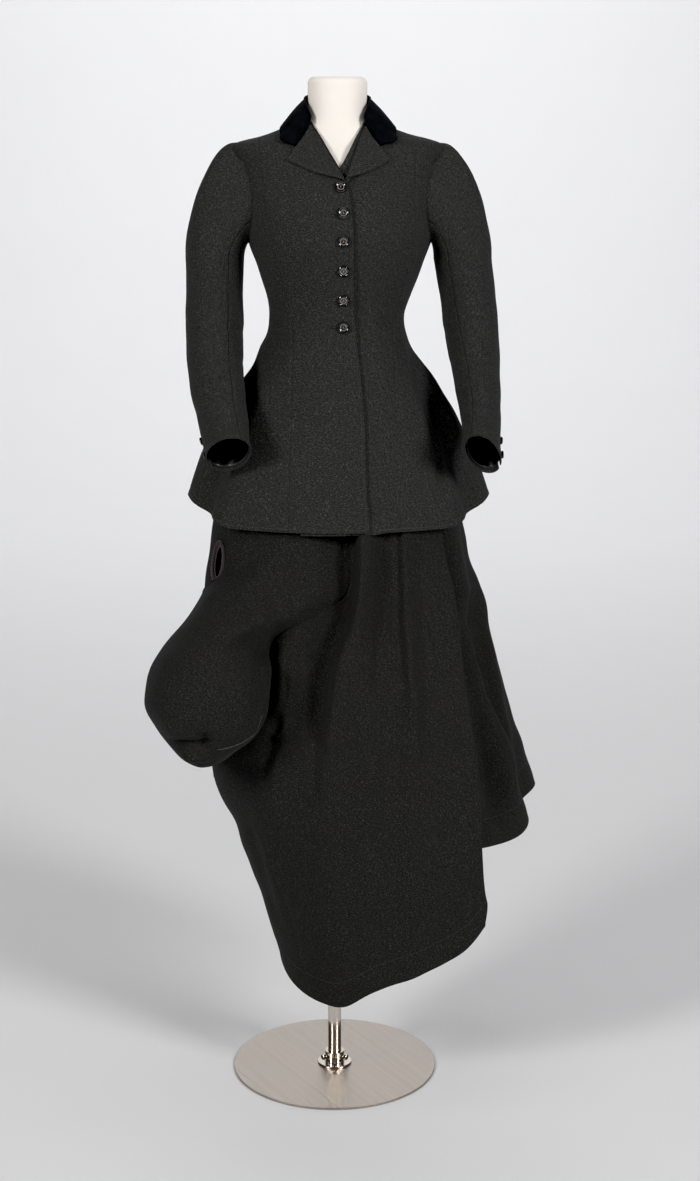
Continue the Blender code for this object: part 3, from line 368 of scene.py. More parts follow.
# %% trim finishes
VELVET = velvet()
SATIN = satin()
JET = gloss("button_jet", (0.0014, 0.0014, 0.0017), (0.0028, 0.0027, 0.0029), 0.08)
# The light grey ring round each button's eye is painted highlight: it stands in for the shine seen all round
# the ring.
JET_HIGHLIGHT = gloss("button_painted_highlight", (0.10, 0.10, 0.102), (0.20, 0.195, 0.19), 0.25)
# A light tan cord on the bag's lower seam: painted highlight of the seam's ridge.
SEAM_HIGHLIGHT = thread("seam_painted_highlight", (0.050, 0.048, 0.040), (0.120, 0.114, 0.096))
WOOL_THREAD = thread("sewing_thread", (0.012, 0.012, 0.0115), (0.034, 0.034, 0.032))
# Dark twist for the buttonhole stitches. The same finish makes the strand that paints the shade in each
# slit.
TWIST_AND_SLIT_SHADE = thread("buttonhole_twist_and_slit_shade", (0.0022, 0.0022, 0.0026), (0.0075, 0.0075, 0.0080))
GOLD_THREAD = thread("button_thread", (0.16, 0.085, 0.035), (0.42, 0.26, 0.12))
BINDING = thread("plum_binding", (0.014, 0.007, 0.011), (0.046, 0.024, 0.034), 0.0014)
print("trim:", VELVET.name, SATIN.name, JET.name, BINDING.name)


# %% jersey
def jersey():
    """Cream jersey: columns of knit stitches, with a faint yellowing in broad patches."""
    made = Finish("form_jersey", (0.86, 0.81, 0.75), Roughness=0.78, Sheen_Weight=0.12)
    u, v, _ = made.axes(made.place(mapped=True))
    column = (u * (2.0 * math.pi / 0.0016)).wave()
    course = (v * (2.0 * math.pi / 0.0013) + column * 3.0).wave()
    patch = made.noise(made.place(), 14.0, 3.0).span(0.3, 0.7)
    body = made.mix(patch * 0.5, (0.86, 0.812, 0.755), (0.82, 0.766, 0.70))
    made.set("Base Color", made.mix(column * course * 0.10, body, (0.62, 0.54, 0.45)))
    made.set("Roughness", course * 0.08 + 0.72)
    made.bump(column * 0.5 + course * 0.5, 0.0003, 0.25)
    return made.material


# %% steel
GRAIN_TURN = 60.0


def brushed():
    """Straight grain: noise that changes fast across the grain and hardly along it."""
    made = Finish("plate_brushed", (0.56, 0.515, 0.465), Metallic=1.0)
    fine = made.noise(made.place((2.5, 900.0, 1.0), GRAIN_TURN), 1.0, 3.0, 0.6)
    broad = made.noise(made.place((0.8, 90.0, 1.0), GRAIN_TURN), 1.0, 3.0, 0.6)
    haze = made.noise(made.place(), 7.0, 3.0).span(0.3, 0.75)
    grain = (fine * 0.6 + broad * 0.4).span(0.30, 0.70)
    body = made.mix(grain, (0.35, 0.309, 0.274), (0.49, 0.446, 0.403))
    made.set("Base Color", made.mix(haze * 0.25, body, (0.50, 0.45, 0.39)))
    made.set("Roughness", grain * 0.16 + haze * 0.08 + 0.22)
    made.bump(fine * 0.7 + broad * 0.3, 0.00015, 0.5)
    return made.material


def polished():
    """Nickel of the pole: bright, warm, with long faint smears."""
    made = Finish("pole_nickel", (0.66, 0.60, 0.53), Metallic=1.0)
    smear = made.noise(made.place((60.0, 60.0, 3.0)), 1.0, 3.0)
    made.set("Base Color", made.mix(smear, (0.58, 0.52, 0.455), (0.72, 0.665, 0.60)))
    made.set("Roughness", smear.span(0.3, 0.8) * 0.10 + 0.05)
    made.bump(smear, 0.00005, 0.2)
    return made.material


JERSEY = jersey()
BRUSHED = brushed()
POLISHED = polished()
print("finishes:", len(bpy.data.materials))

# %% [markdown]
# ## Floor and light
# The room is one pale sheet, a floor that bends up into a wall before and behind. Two soft boxes stand in
# front, left and right, one washes the wall, one lights the back. The air gives little, so folds stay dark.


# %% floor
def studio_finish():
    """Pale painted paper with a trace of mottling."""
    made = Finish("studio_paper", (0.79, 0.79, 0.80), Roughness=0.9)
    blot = made.noise(made.place(), 3.0, 4.0)
    made.set("Base Color", made.mix(blot, (0.78, 0.78, 0.79), (0.80, 0.80, 0.81)))
    return made.material


def sweep():
    """The profile is half a floor, a quarter circle and a wall, mirrored and carried across."""
    bend = np.linspace(0.0, math.pi / 2.0, 24)
    radius, back, high = 2.4, 5.2, 7.0
    run = np.append(back + radius * np.sin(bend), back + radius)
    rise = np.append(radius * (1.0 - np.cos(bend)), high)
    run, rise = np.append(-run[::-1], run), np.append(rise[::-1], rise)
    points = stacked(np.array([-14.0, 0.0, 14.0]), run[:, None], rise[:, None])
    mesh = plain_mesh("studio_sweep", points, grid_faces(len(run), 3)[:, ::-1])
    mesh.materials.append(studio_finish())
    into_scene("studio_sweep", mesh)


# %% soft boxes
def soft_light(name, place, aim, size, power, colour):
    """A square soft box at a place, turned to its aim."""
    data = bpy.data.lights.new(name, "AREA")
    data.shape = "RECTANGLE"
    data.size, data.size_y = size
    data.energy = power
    data.color = colour
    made = into_scene(name, data)
    made.location = place
    made.rotation_euler = (Vector(aim) - Vector(place)).to_track_quat("-Z", "Y").to_euler()


sweep()
soft_light("key", (-3.0, -3.0, 2.8), (0.0, 0.0, 1.25), (1.0, 1.4), 114.0, (1.0, 0.99, 0.975))
soft_light("fill", (3.0, -3.0, 2.8), (0.0, 0.0, 1.25), (1.0, 1.4), 134.0, (1.0, 0.995, 0.99))
soft_light("top", (0.0, 0.2, 4.2), (0.0, 0.4, 0.0), (2.4, 1.6), 18.0, (1.0, 1.0, 1.0))
soft_light("wall", (0.0, 4.3, 4.6), (0.0, 7.1, 1.3), (7.0, 1.2), 205.0, (1.0, 1.0, 1.0))
soft_light("rear", (0.0, 3.2, 3.4), (0.0, 0.0, 1.1), (3.0, 0.8), 18.0, (1.0, 1.0, 1.0))
world = bpy.data.worlds.new("studio_air")
world.use_nodes = True
air = world.node_tree.nodes["Background"].inputs
air["Color"].default_value = (0.93, 0.96, 1.0, 1.0)
air["Strength"].default_value = 0.07
bpy.context.scene.world = world
print("lights:", len(bpy.data.lights))

# %% [markdown]
# ## The figure under the cloth
# A tailor's block gives the body as a few level sections. The table below says how wide and how deep
# the jacket is at each height, and smooth curves run through its rows. Soft flutes widen the jacket
# below the waist, and the hem rises towards the hips.


# %% tables
def columns(names, *rows):
    """A short table as arrays that are read by column name."""
    return dict(zip(names.split(), np.array(rows, float).T, strict=True))


def read(table, name, at):
    """One column at places along the table's first column, on cubic curves through its rows."""
    knots = next(iter(table.values()))
    values = table[name]
    if knots[0] > knots[-1]:
        knots = knots[::-1]
        values = values[::-1]
    steps = np.diff(knots)
    rises = np.diff(values) / steps
    slopes = np.concatenate(([rises[0]], (rises[:-1] + rises[1:]) / 2.0, [rises[-1]]))
    at = np.clip(np.asarray(at, float), knots[0], knots[-1])
    i = np.clip(np.searchsorted(knots, at) - 1, 0, len(steps) - 1)
    t = (at - knots[i]) / steps[i]
    start = values[i] * (1 + 2 * t) * (1 - t) ** 2 + slopes[i] * steps[i] * t * (1 - t) ** 2
    end = values[i + 1] * t * t * (3 - 2 * t) + slopes[i + 1] * steps[i] * t * t * (t - 1)
    return start + end


# %% soft steps and ridges
def ease(low, high, at):
    """0 before low, 1 after high, smooth between."""
    t = np.clip((np.asarray(at, float) - low) / (high - low), 0.0, 1.0)
    return t * t * (3 - 2 * t)


def bump(at, centre, width):
    """A soft ridge of height 1: the bell curve of the distance over the width."""
    return np.exp(-(((np.asarray(at, float) - centre) / width) ** 2))


def between(low, high, share):
    """Columns from one edge to the other, for edges given row by row."""
    return np.asarray(low, float)[:, None] * (1 - share) + np.asarray(high, float)[:, None] * share


def shares(count):
    """Places from 0 to 1 that lie closer together towards both ends, where edges are turned."""
    t = np.linspace(0.0, 1.0, count)
    return 0.45 * t + 0.55 * (1.0 - np.cos(np.pi * t)) / 2.0


def runs(*parts):
    """Heights from runs of (start, end, count), each run leaving its end to the next."""
    made = [np.linspace(start, end, count, endpoint=False) for start, end, count in parts]
    return np.concatenate(made + [[parts[-1][1]]])


def wrapped(angle):
    """The same angle between -180 and 180 degrees."""
    return (np.asarray(angle, float) + 180.0) % 360.0 - 180.0


# %% the body's sections
BODY = columns(
    "z middle half front back",
    (1.597, 0.0070, 0.0600, 0.0440, 0.0520),
    (1.584, 0.0075, 0.0830, 0.0480, 0.0560),
    (1.570, 0.0080, 0.1200, 0.0560, 0.0620),
    (1.559, 0.0090, 0.1600, 0.0660, 0.0700),
    (1.530, 0.0095, 0.1570, 0.0880, 0.0860),
    (1.490, 0.0100, 0.1520, 0.1100, 0.0970),
    (1.450, 0.0100, 0.1480, 0.1240, 0.1000),
    (1.415, 0.0105, 0.1450, 0.1260, 0.0980),
    (1.366, 0.0100, 0.1290, 0.1150, 0.0910),
    (1.323, 0.0085, 0.1140, 0.1010, 0.0830),
    (1.290, 0.0055, 0.1070, 0.0950, 0.0800),
    (1.261, 0.0055, 0.1110, 0.0970, 0.0840),
    (1.225, 0.0070, 0.1310, 0.1040, 0.0970),
    (1.190, 0.0075, 0.1540, 0.1110, 0.1130),
    (1.100, 0.0070, 0.2010, 0.1300, 0.1560),
    (1.036, 0.0070, 0.2270, 0.1420, 0.1880),
    (0.966, 0.0080, 0.2460, 0.1520, 0.2150),
)
JACKET_FLUTES = columns(
    "angle depth width",
    (50.0, 0.004, 9.0),
    (66.0, -0.020, 9.0),
    (93.0, 0.007, 14.0),
    (122.0, -0.010, 12.0),
    (150.0, 0.010, 12.0),
    (172.0, -0.006, 9.0),
)
print("jacket sections:", len(BODY["z"]))

# %% [markdown]
# ## The jacket's face
# A point of the jacket is named by its angle from the front and its height. Its level section is an
# ellipse with one depth in front and another behind. Flutes and creases push the point out along the
# section's normal.


# %% jacket face
def flutes(table, angle, grow):
    """Sum of soft flutes, each a bell curve of the angle, all growing together."""
    angle = np.asarray(angle, float)
    total = np.zeros(np.shape(angle))
    for centre, depth, width in zip(*table.values(), strict=True):
        total = total + depth * bump(angle, centre, width)
    return total * grow


def ellipse(angle, left, right, front, back, out):
    """x and y on an ellipse from its ends and depths, moved out along its normal."""
    turn = np.radians(angle)
    half = (right - left) / 2.0
    depth = np.where(np.cos(turn) > 0.0, front, back)
    nx = np.sin(turn) / half
    ny = -np.cos(turn) / depth
    size = np.hypot(nx, ny)
    x = (left + right) / 2.0 + half * np.sin(turn) + out * nx / size
    return x, -depth * np.cos(turn) + out * ny / size


def jacket(angle, z, lift=0.0):
    """A point of the jacket's outer face by its angle towards the wearer's left and its height."""
    angle = np.asarray(angle, float)
    z = np.asarray(z, float)
    out = lift + flutes(JACKET_FLUTES, np.abs(wrapped(angle)), 1.0 - ease(1.02, 1.25, z))
    middle, half, front, back = (read(BODY, name, z) for name in ("middle", "half", "front", "back"))
    x, y = ellipse(angle, middle - half, middle + half, front, back, out)
    return stacked(x, y, z)


def front_angle(x, middle, half):
    """The angle from the front at an x of an ellipse: the arc sine of its share of the half width."""
    share = (np.asarray(x, float) - middle) / half
    return np.degrees(np.arcsin(np.clip(share, -1.0, 1.0)))


def jacket_angle(x, z):
    """The angle of the jacket's front face at an x."""
    return front_angle(x, read(BODY, "middle", z), read(BODY, "half", z))


def jacket_normal(angle, z, here):
    """Unit normals at places on the jacket: a step round it crossed with a step up."""
    return unit(np.cross(jacket(angle + 0.5, z) - here, jacket(angle, z + 0.002) - here))


# %% the jacket's hem
HEM_LEVEL = 0.968
HEM_START = 1.055


def jacket_hem(angle):
    """Height of the hem: level in front, rising towards the hips, lower again behind."""
    away = np.abs(wrapped(angle))
    rise = 0.010 * ease(42.0, 60.0, away) + 0.024 * ease(61.0, 89.0, away)
    return HEM_LEVEL + rise - 0.012 * ease(110.0, 170.0, away)


def fall(rows, angle):
    """Heights of the rows at each angle: below the hips they spread so that the last is the hem."""
    level = np.broadcast_to(np.asarray(rows, float)[:, None], angle.shape)
    share = np.clip((HEM_START - level) / (HEM_START - HEM_LEVEL), 0.0, 1.0)
    return level + share * (jacket_hem(angle) - HEM_LEVEL)


# %% [markdown]
# ## Creases, edges and seams
# Cloth is told apart from a hard shell by small things. A crease is a soft trough or ridge along a
# short line. A seam sinks where two panels are sewn together. A turned edge is thicker than the cloth
# and has a row of stitches beside it. Each of these is one lift, added to the points along their normals.


# %% creases
def crease(x, z, line, lift, width, taper=0.25):
    """Lift of one crease: a bell curve of the distance to its line, fading at both ends."""
    line = np.array(line, float)
    best = np.full(np.broadcast(x, z).shape, np.inf)
    place = np.zeros_like(best)
    total = np.linalg.norm(np.diff(line, axis=0), axis=1).sum()
    gone = 0.0
    for (x0, z0), (x1, z1) in zip(line[:-1], line[1:], strict=True):
        size = math.hypot(x1 - x0, z1 - z0)
        t = np.clip(((x - x0) * (x1 - x0) + (z - z0) * (z1 - z0)) / size**2, 0.0, 1.0)
        far = np.hypot(x - x0 - t * (x1 - x0), z - z0 - t * (z1 - z0))
        place = np.where(far < best, (gone + t * size) / total, place)
        best = np.minimum(best, far)
        gone += size
    return lift * np.exp(-((best / width) ** 2)) * ease(0.0, taper, place) * ease(1.0, 1.0 - taper, place)


def creases(points, table):
    """The sum of a table of creases on a grid, read by the grid's own x and z."""
    total = np.zeros(points.shape[:2])
    for line, lift, width in table:
        total = total + crease(points[..., 0], points[..., 2], line, lift, width)
    return raised(points, total)


def pleated(points, table):
    """Moves points forward by bell curves of the distance to upright lines, each with two widths."""
    x, z = points[..., 0], points[..., 2]
    forward = np.zeros_like(x)
    for line, depth, left, right in table:
        line = np.array(line, float)[::-1]
        far = x - np.interp(z, line[:, 1], line[:, 0])
        ends = (line[-1, 1] - line[0, 1]) * 0.22
        fade = ease(line[0, 1], line[0, 1] + ends, z) * ease(line[-1, 1], line[-1, 1] - ends, z)
        forward = forward + depth * fade * bump(far / np.where(far < 0.0, left, right), 0.0, 1.0)
    points = points.copy()
    points[..., 1] -= forward
    return points


def drift(points, size=0.0004):
    """The slight unevenness of all cloth: four long waves that cross each other."""
    x, y, z = (points[..., k] for k in range(3))
    wave = np.sin(61.0 * x + 23.0 * z + 1.3) + np.sin(37.0 * z - 44.0 * x + 31.0 * y)
    wave = wave + 0.7 * np.sin(93.0 * z + 52.0 * y + 2.1) + 0.6 * np.sin(118.0 * x - 74.0 * z + 0.4)
    return raised(points, size * wave)


# %% edges
def from_edge(points, edge):
    """Distance along the cloth from one edge of its grid: left, right, top or bottom."""
    run = lengths(points, 1 if edge in ("left", "right") else 0)
    if edge == "right":
        return run[:, -1:] - run
    if edge == "bottom":
        return run[-1:] - run
    return run


SEAM_SINK = 0.0009
SEAM_ROLL = 0.0018
EDGE_SWELL = 0.0006
STITCH_IN = 0.0050


def edged(points, **edges):
    """Sinks the sewn edges and thickens the turned ones, with a groove under their stitches."""
    lift = np.zeros(points.shape[:2])
    for edge, kind in edges.items():
        far = from_edge(points, edge)
        if kind == "sewn":
            lift = lift - SEAM_SINK * bump(far, 0.0, SEAM_ROLL)
            lift = lift + 0.25 * SEAM_SINK * bump(far, 0.0050, 0.0026)
        if kind == "pressed":
            lift = lift - 0.4 * SEAM_SINK * bump(far, 0.0, 0.7 * SEAM_ROLL)
        if kind == "turned":
            lift = lift + EDGE_SWELL * ease(0.0085, 0.0030, far)
            lift = lift - 0.7 * EDGE_SWELL * bump(far, STITCH_IN, 0.0011)
    return raised(points, lift)


def inset(points, edge, distance):
    """The line that lies at a distance inside one edge, with its normals, found on every row at once."""
    normals = outward(points)
    if edge in ("top", "bottom"):
        points = np.swapaxes(points, 0, 1)
        normals = np.swapaxes(normals, 0, 1)
    if edge in ("right", "bottom"):
        points = points[:, ::-1]
        normals = normals[:, ::-1]
    run = lengths(points, 1)
    k = np.clip((run < distance).sum(1), 1, run.shape[1] - 1)
    row = np.arange(len(run))
    t = np.clip((distance - run[row, k - 1]) / np.maximum(run[row, k] - run[row, k - 1], 1e-9), 0.0, 1.0)
    return [a[row, k - 1] * (1 - t[:, None]) + a[row, k] * t[:, None] for a in (points, normals)]


# %% [markdown]
# ## Sewing a panel
# A grid becomes cloth in three moves: its squares go into a mesh, Solidify gives it the wall of the real
# cloth, inwards, and a small Bevel rounds the cut edges. The same function hides the plain pieces that the
# panel stands for.


# %% cloth pieces
JACKET_WALL = 0.0018
SKIRT_WALL = 0.0016
JACKET_CLOTH = (JACKET_WALL, JACKET_WOOL, "jacket_wool")
SKIRT_CLOTH = (SKIRT_WALL, SHADED_SKIRT_WOOL, "skirt_wool")
RIM_ANGLE = 60.0


def add(name, mesh, look, slot, *nodes):
    """Puts a finished mesh into the scene as one piece that stands for some of the plain nodes."""
    mesh.materials.append(look)
    made = into_scene(name, mesh)
    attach(made, "root")
    if nodes:
        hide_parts(*nodes)
    print(name, "has", len(mesh.polygons), "faces")
    return made


def cloth(name, points, wall, look, slot, *nodes, held="draped", edge=0.0005):
    """A panel from its grid, with its wall and its rounded edges."""
    across = lengths(points, 1)
    down = lengths(points, 0)
    uv = stacked(across - across[:, -1:] / 2.0, -down)
    mesh = plain_mesh(name, points, grid_faces(*points.shape[:2]), uv)
    made = add(name, mesh, look, slot, *nodes)
    shell = made.modifiers.new("wall", "SOLIDIFY")
    shell.thickness = wall
    shell.offset = -1.0
    if edge:
        rim = made.modifiers.new("rim", "BEVEL")
        rim.width = edge
        rim.segments = 2
        rim.limit_method = "ANGLE"
        rim.angle_limit = math.radians(RIM_ANGLE)
    squares = np.cross(points[1:, 1:] - points[:-1, :-1], points[1:, :-1] - points[:-1, 1:])
    return made


# %% [markdown]
# ## Stitches
# A stitch is a little spindle of thread, half sunk in the cloth. Its shape is worked out once, and
# copies of it are set along a line by adding arrays, which makes hundreds of stitches one mesh.


# %% one stitch
def spindle(around=5):
    """A stitch of length 1 along X: three rings of a whole turn, pinched to a point at both ends."""
    turn = np.arange(around) * 2.0 * math.pi / around
    x, r = np.array([(-0.42, 0.6), (0.0, 1.0), (0.42, 0.6)]).T[..., None]
    rings = stacked(x, r * np.cos(turn), r * np.sin(turn)).reshape(-1, 3)
    points = np.concatenate(([(-0.5, 0.0, 0.0)], rings, [(0.5, 0.0, 0.0)]))
    return points, polar_faces(len(x), around)


def even(line, step):
    """Places a step apart along lines of points, by their running length. Extra columns go along."""
    run = np.concatenate(([0.0], np.cumsum(np.linalg.norm(np.diff(line[:, :3], axis=0), axis=1))))
    at = np.arange(step / 2.0, run[-1], step)
    return np.stack([np.interp(at, run, line[:, k]) for k in range(line.shape[1])], 1)


def thread_mesh(name, starts, ends, normals, radius):
    """Stitches from start points to end points, each a spindle turned to its line and its normal."""
    stitch, faces = spindle()
    x, y, z = stitch.T[:, None, :, None]
    along = ends - starts
    side = unit(np.cross(normals, along))
    up = unit(np.cross(along, side))
    middle = (starts + ends) / 2.0
    points = middle[:, None] + x * along[:, None] + radius * (y * side[:, None] + z * up[:, None])
    faces = faces + (np.arange(len(starts)) * len(stitch))[:, None, None]
    return plain_mesh(name, points, faces.reshape(-1, 4))


# %% rows of stitches
def row_of_stitches(line, length, gap, lift=0.0):
    """Starts, ends and normals of running stitches along a line (points and normals)."""
    both = even(np.hstack(line), length + gap)
    place = both[:, :3]
    normal = unit(both[:, 3:])
    half = unit(np.gradient(place, axis=0)) * length / 2.0
    place = place + normal * lift
    return place - half, place + half, normal


TOP_STITCH = 0.0030
TOP_GAP = 0.0011
THREAD_RADIUS = 0.00033
jacket_seams = []
skirt_seams = []


def topstitch(rows, points, edge, distance=STITCH_IN, length=TOP_STITCH):
    """Keeps a row of stitches beside an edge, to be made with all the others of the garment."""
    rows.append(row_of_stitches(inset(points, edge, distance), length, TOP_GAP, THREAD_RADIUS * 0.4))


def sew_all(name, rows, look, slot, radius=THREAD_RADIUS):
    """One mesh from all the rows of stitches that were kept."""
    starts, ends, normals = (np.concatenate([row[k] for row in rows]) for k in range(3))
    add(name, thread_mesh(name, starts, ends, normals, radius), look, slot)


# %% [markdown]
# ## Jacket fronts
# The right front lies on top and carries the buttonholes. The left one runs under it, so it sinks by a
# wall and a gap where the other covers it. Both end at a long curved seam over the bust. The lower
# corner of the right front is rounded, which is done on the heights before the surface is worked out.

# %% edges of the fronts
FRONT_LINE = 0.0155
UNDER_GAP = 0.0011
UNDER_SINK = 0.0022
FACING_HEM = 0.9632
ROLL_ROWS = 24
SEAM_GAP = -0.0006
SEAM_OFFSETS = columns(
    "z offset",
    (0.966, 0.088),
    (1.090, 0.084),
    (1.190, 0.081),
    (1.280, 0.080),
    (1.360, 0.096),
    (1.454, 0.118),
    (1.516, 0.126),
    (1.570, 0.132),
)
FRONT_EDGE = columns(
    "z x",
    (0.966, 0.056),
    (1.060, 0.050),
    (1.140, 0.048),
    (1.204, 0.042),
    (1.282, 0.034),
    (1.325, 0.032),
    (1.370, 0.031),
    (1.441, 0.030),
    (1.490, 0.024),
    (1.512, 0.016),
    (1.527, 0.008),
    (1.560, -0.012),
    (1.597, -0.036),
)
UNDER_EDGE = columns(
    "z x",
    (0.966, 0.020),
    (1.060, 0.014),
    (1.140, 0.012),
    (1.204, 0.006),
    (1.282, -0.002),
    (1.325, -0.004),
    (1.370, -0.005),
    (1.441, -0.006),
    (1.490, -0.012),
    (1.512, 0.000),
    (1.527, 0.012),
    (1.560, 0.030),
    (1.597, 0.050),
)

# %% seam and corner
CORNER_RADIUS = 0.009
SHOULDER_TOP = 1.5705


def gap_angle(z, table=BODY):
    """Half a seam's gap as degrees at a height."""
    return np.degrees(SEAM_GAP / 2.0 / read(table, "front", z))


def front_seam(rows, side):
    """Angle of the long front seam. Above the shoulder's end it is the shoulder line itself."""
    x = FRONT_LINE + side * read(SEAM_OFFSETS, "offset", rows) - 0.0075 * (1 + side) * ease(1.38, 1.54, rows)
    return np.where(rows > SHOULDER_TOP, side * 90.0, jacket_angle(x, rows))


def rounded_low(angle, z, surface, edge):
    """Raises the rows towards a lower corner by a quarter circle of the corner's radius."""
    flat = surface(angle, z)
    beside = from_edge(flat, edge)
    below = from_edge(flat, "bottom")
    inside = np.clip(CORNER_RADIUS - beside, 0.0, CORNER_RADIUS)
    rise = CORNER_RADIUS - np.sqrt(CORNER_RADIUS**2 - inside**2)
    return z + rise * np.clip(1.0 - below / (4.0 * CORNER_RADIUS), 0.0, 1.0)


# %% rows and creases of the jacket
JACKET_ROWS = runs((1.597, 1.559, 26), (1.559, 1.408, 30), (1.408, 1.225, 36), (1.225, 0.968, 52))
WAIST_CREASES = (
    (((-0.100, 1.262), (-0.060, 1.272), (-0.020, 1.268)), -0.0007, 0.006),
    (((-0.096, 1.300), (-0.062, 1.298), (-0.034, 1.306)), 0.0006, 0.008),
    (((0.108, 1.270), (0.076, 1.276), (0.048, 1.268)), -0.0007, 0.006),
    (((0.104, 1.306), (0.074, 1.300), (0.050, 1.310)), 0.0006, 0.008),
    (((-0.118, 1.480), (-0.085, 1.455), (-0.040, 1.452)), 0.0008, 0.016),
    (((0.128, 1.480), (0.098, 1.452), (0.050, 1.448)), 0.0008, 0.016),
    (((-0.080, 1.180), (-0.076, 1.100), (-0.078, 1.000)), -0.0010, 0.012),
    (((0.070, 1.200), (0.074, 1.110), (0.078, 1.010)), -0.0012, 0.012),
    (((0.104, 1.215), (0.122, 1.140), (0.138, 1.050)), 0.0014, 0.011),
    (((-0.094, 1.215), (-0.110, 1.140), (-0.126, 1.050)), 0.0012, 0.012),
)
print("jacket rows:", len(JACKET_ROWS))


# %% front panels
def right_front():
    """From the front seam to the front edge, on top of the other front."""
    rows = JACKET_ROWS
    seam = front_seam(rows, -1) + gap_angle(rows)
    edge = jacket_angle(read(FRONT_EDGE, "x", rows), rows)
    angle = between(seam, edge, shares(58))
    z = rounded_low(angle, fall(rows, angle), jacket, "right")
    points = drift(creases(jacket(angle, z), WAIST_CREASES))
    points = edged(points, left="sewn", right="turned", bottom="turned")
    cloth("right_front", points, *JACKET_CLOTH, "jacket_front_right")
    topstitch(jacket_seams, points[ROLL_ROWS:], "right", 0.0045)
    topstitch(jacket_seams, points, "bottom")


def left_front():
    """From the hidden edge to its front seam: sunk under the right front, level beyond it."""
    rows = JACKET_ROWS
    edge = jacket_angle(read(UNDER_EDGE, "x", rows), rows)
    seam = front_seam(rows, 1) - gap_angle(rows)
    angle = between(edge, seam, shares(62))
    z = fall(rows, angle)
    middle = read(BODY, "middle", rows)[:, None]
    x = middle + read(BODY, "half", rows)[:, None] * np.sin(np.radians(angle))
    over = read(FRONT_EDGE, "x", rows)[:, None]
    dip = 1.0 - ease(over + 0.002, over + 0.034, x)
    lift = -(JACKET_WALL + UNDER_GAP + UNDER_SINK) * dip * ease(1.60, 1.52, rows)[:, None]
    z = z - 0.004 * dip * ease(1.0, 0.968, rows)[:, None]
    points = drift(creases(jacket(angle, z, lift), WAIST_CREASES))
    points = edged(points, left="turned", right="sewn", bottom="turned")
    cloth("left_front", points, *JACKET_CLOTH, "jacket_front_left")
    topstitch(jacket_seams, points[:, 24:], "bottom")


def facing():
    """The left front's facing, whose hem peeps out below the right front's."""
    rows = np.linspace(1.010, FACING_HEM, 16)[:, None]
    angle = jacket_angle(np.linspace(-0.052, 0.020, 34), rows)
    points = drift(jacket(angle, rows, -(JACKET_WALL + UNDER_GAP + 0.0006)))
    points = edged(points, left="turned", bottom="turned")
    cloth("front_facing", points, *JACKET_CLOTH)


right_front()
left_front()
facing()

# %% [markdown]
# ## Side panels and back
# Two panels fit the jacket to the side: the first reaches from the bust seam to a seam under the arm,
# the second from there to a curved back seam. Each gives half of the armhole, an oval cut. The back is
# in two pieces that meet in the middle.

# %% seams and armholes
ARMHOLE_TOP = 1.559
ARMHOLE_BOTTOM = 1.408
ARMHOLE_MIDDLE = (ARMHOLE_TOP + ARMHOLE_BOTTOM) / 2.0
ARMHOLE_HALF = (ARMHOLE_TOP - ARMHOLE_BOTTOM) / 2.0
ARMHOLE_FRONT = 26.0
ARMHOLE_BACK = 30.0
BACK_SEAM = columns(
    "z angle", (0.966, 136.0), (1.10, 140.0), (1.28, 152.0), (1.42, 140.0), (1.50, 130.0), (1.559, 96.0)
)


def armhole(z, reach):
    """Half the armhole in degrees: the height of a half circle stretched to its reach."""
    share = (np.asarray(z, float) - ARMHOLE_MIDDLE) / ARMHOLE_HALF
    return reach * np.sqrt(np.clip(1.0 - share**2, 0.0, 1.0))


def side_seam(z):
    """Angle of the seam under the arm, which moves forward towards the hem."""
    return np.where(z > ARMHOLE_BOTTOM, 90.0, 90.0 - 14.0 * (1.0 - ease(1.02, ARMHOLE_BOTTOM, z)))


def ordered(angle):
    """Columns in the order that faces outwards, whichever side of the body they are on."""
    return angle if angle[-1, -1] > angle[-1, 0] else angle[:, ::-1]


# %% sewn panels
def sewn_panel(hand, part, near, far, rows, count, table):
    """A jacket panel between two edges given as angles row by row, sewn on both sides."""
    angle = ordered(between(near, far, shares(count)))
    points = drift(creases(jacket(angle, fall(rows, angle)), table))
    points = edged(points, left="sewn", right="sewn", bottom="turned")
    cloth(hand + "_" + part, points, *JACKET_CLOTH, "jacket_" + part + "_" + hand)
    topstitch(jacket_seams, points, "bottom")


FLANK_CREASES = (
    (((0.104, 1.285), (0.110, 1.255), (0.119, 1.222), (0.134, 1.175), (0.150, 1.110), (0.158, 1.050)),
     0.0034, 0.006),
    (((0.112, 1.262), (0.126, 1.224), (0.148, 1.160), (0.168, 1.090), (0.184, 1.000)), -0.0110, 0.012),
    (((-0.104, 1.275), (-0.122, 1.212), (-0.136, 1.170), (-0.148, 1.120)), 0.0028, 0.007),
    (((-0.110, 1.250), (-0.128, 1.205), (-0.150, 1.150), (-0.172, 1.080), (-0.188, 1.000)), -0.0085, 0.012),
)
BACK_CREASES = (
    (((-0.060, 1.290), (-0.020, 1.300), (0.030, 1.292), (0.080, 1.300)), -0.0009, 0.007),
    (((-0.080, 1.500), (-0.095, 1.440), (-0.090, 1.380)), 0.0012, 0.014),
    (((0.096, 1.500), (0.110, 1.440), (0.104, 1.380)), 0.0012, 0.014),
)


# %% side and back panels
UNDER_SHOULDER = 1.545
FLANK_RUNS = ((UNDER_SHOULDER, 1.408, 28), (1.408, 1.225, 32), (1.225, HEM_LEVEL, 48))


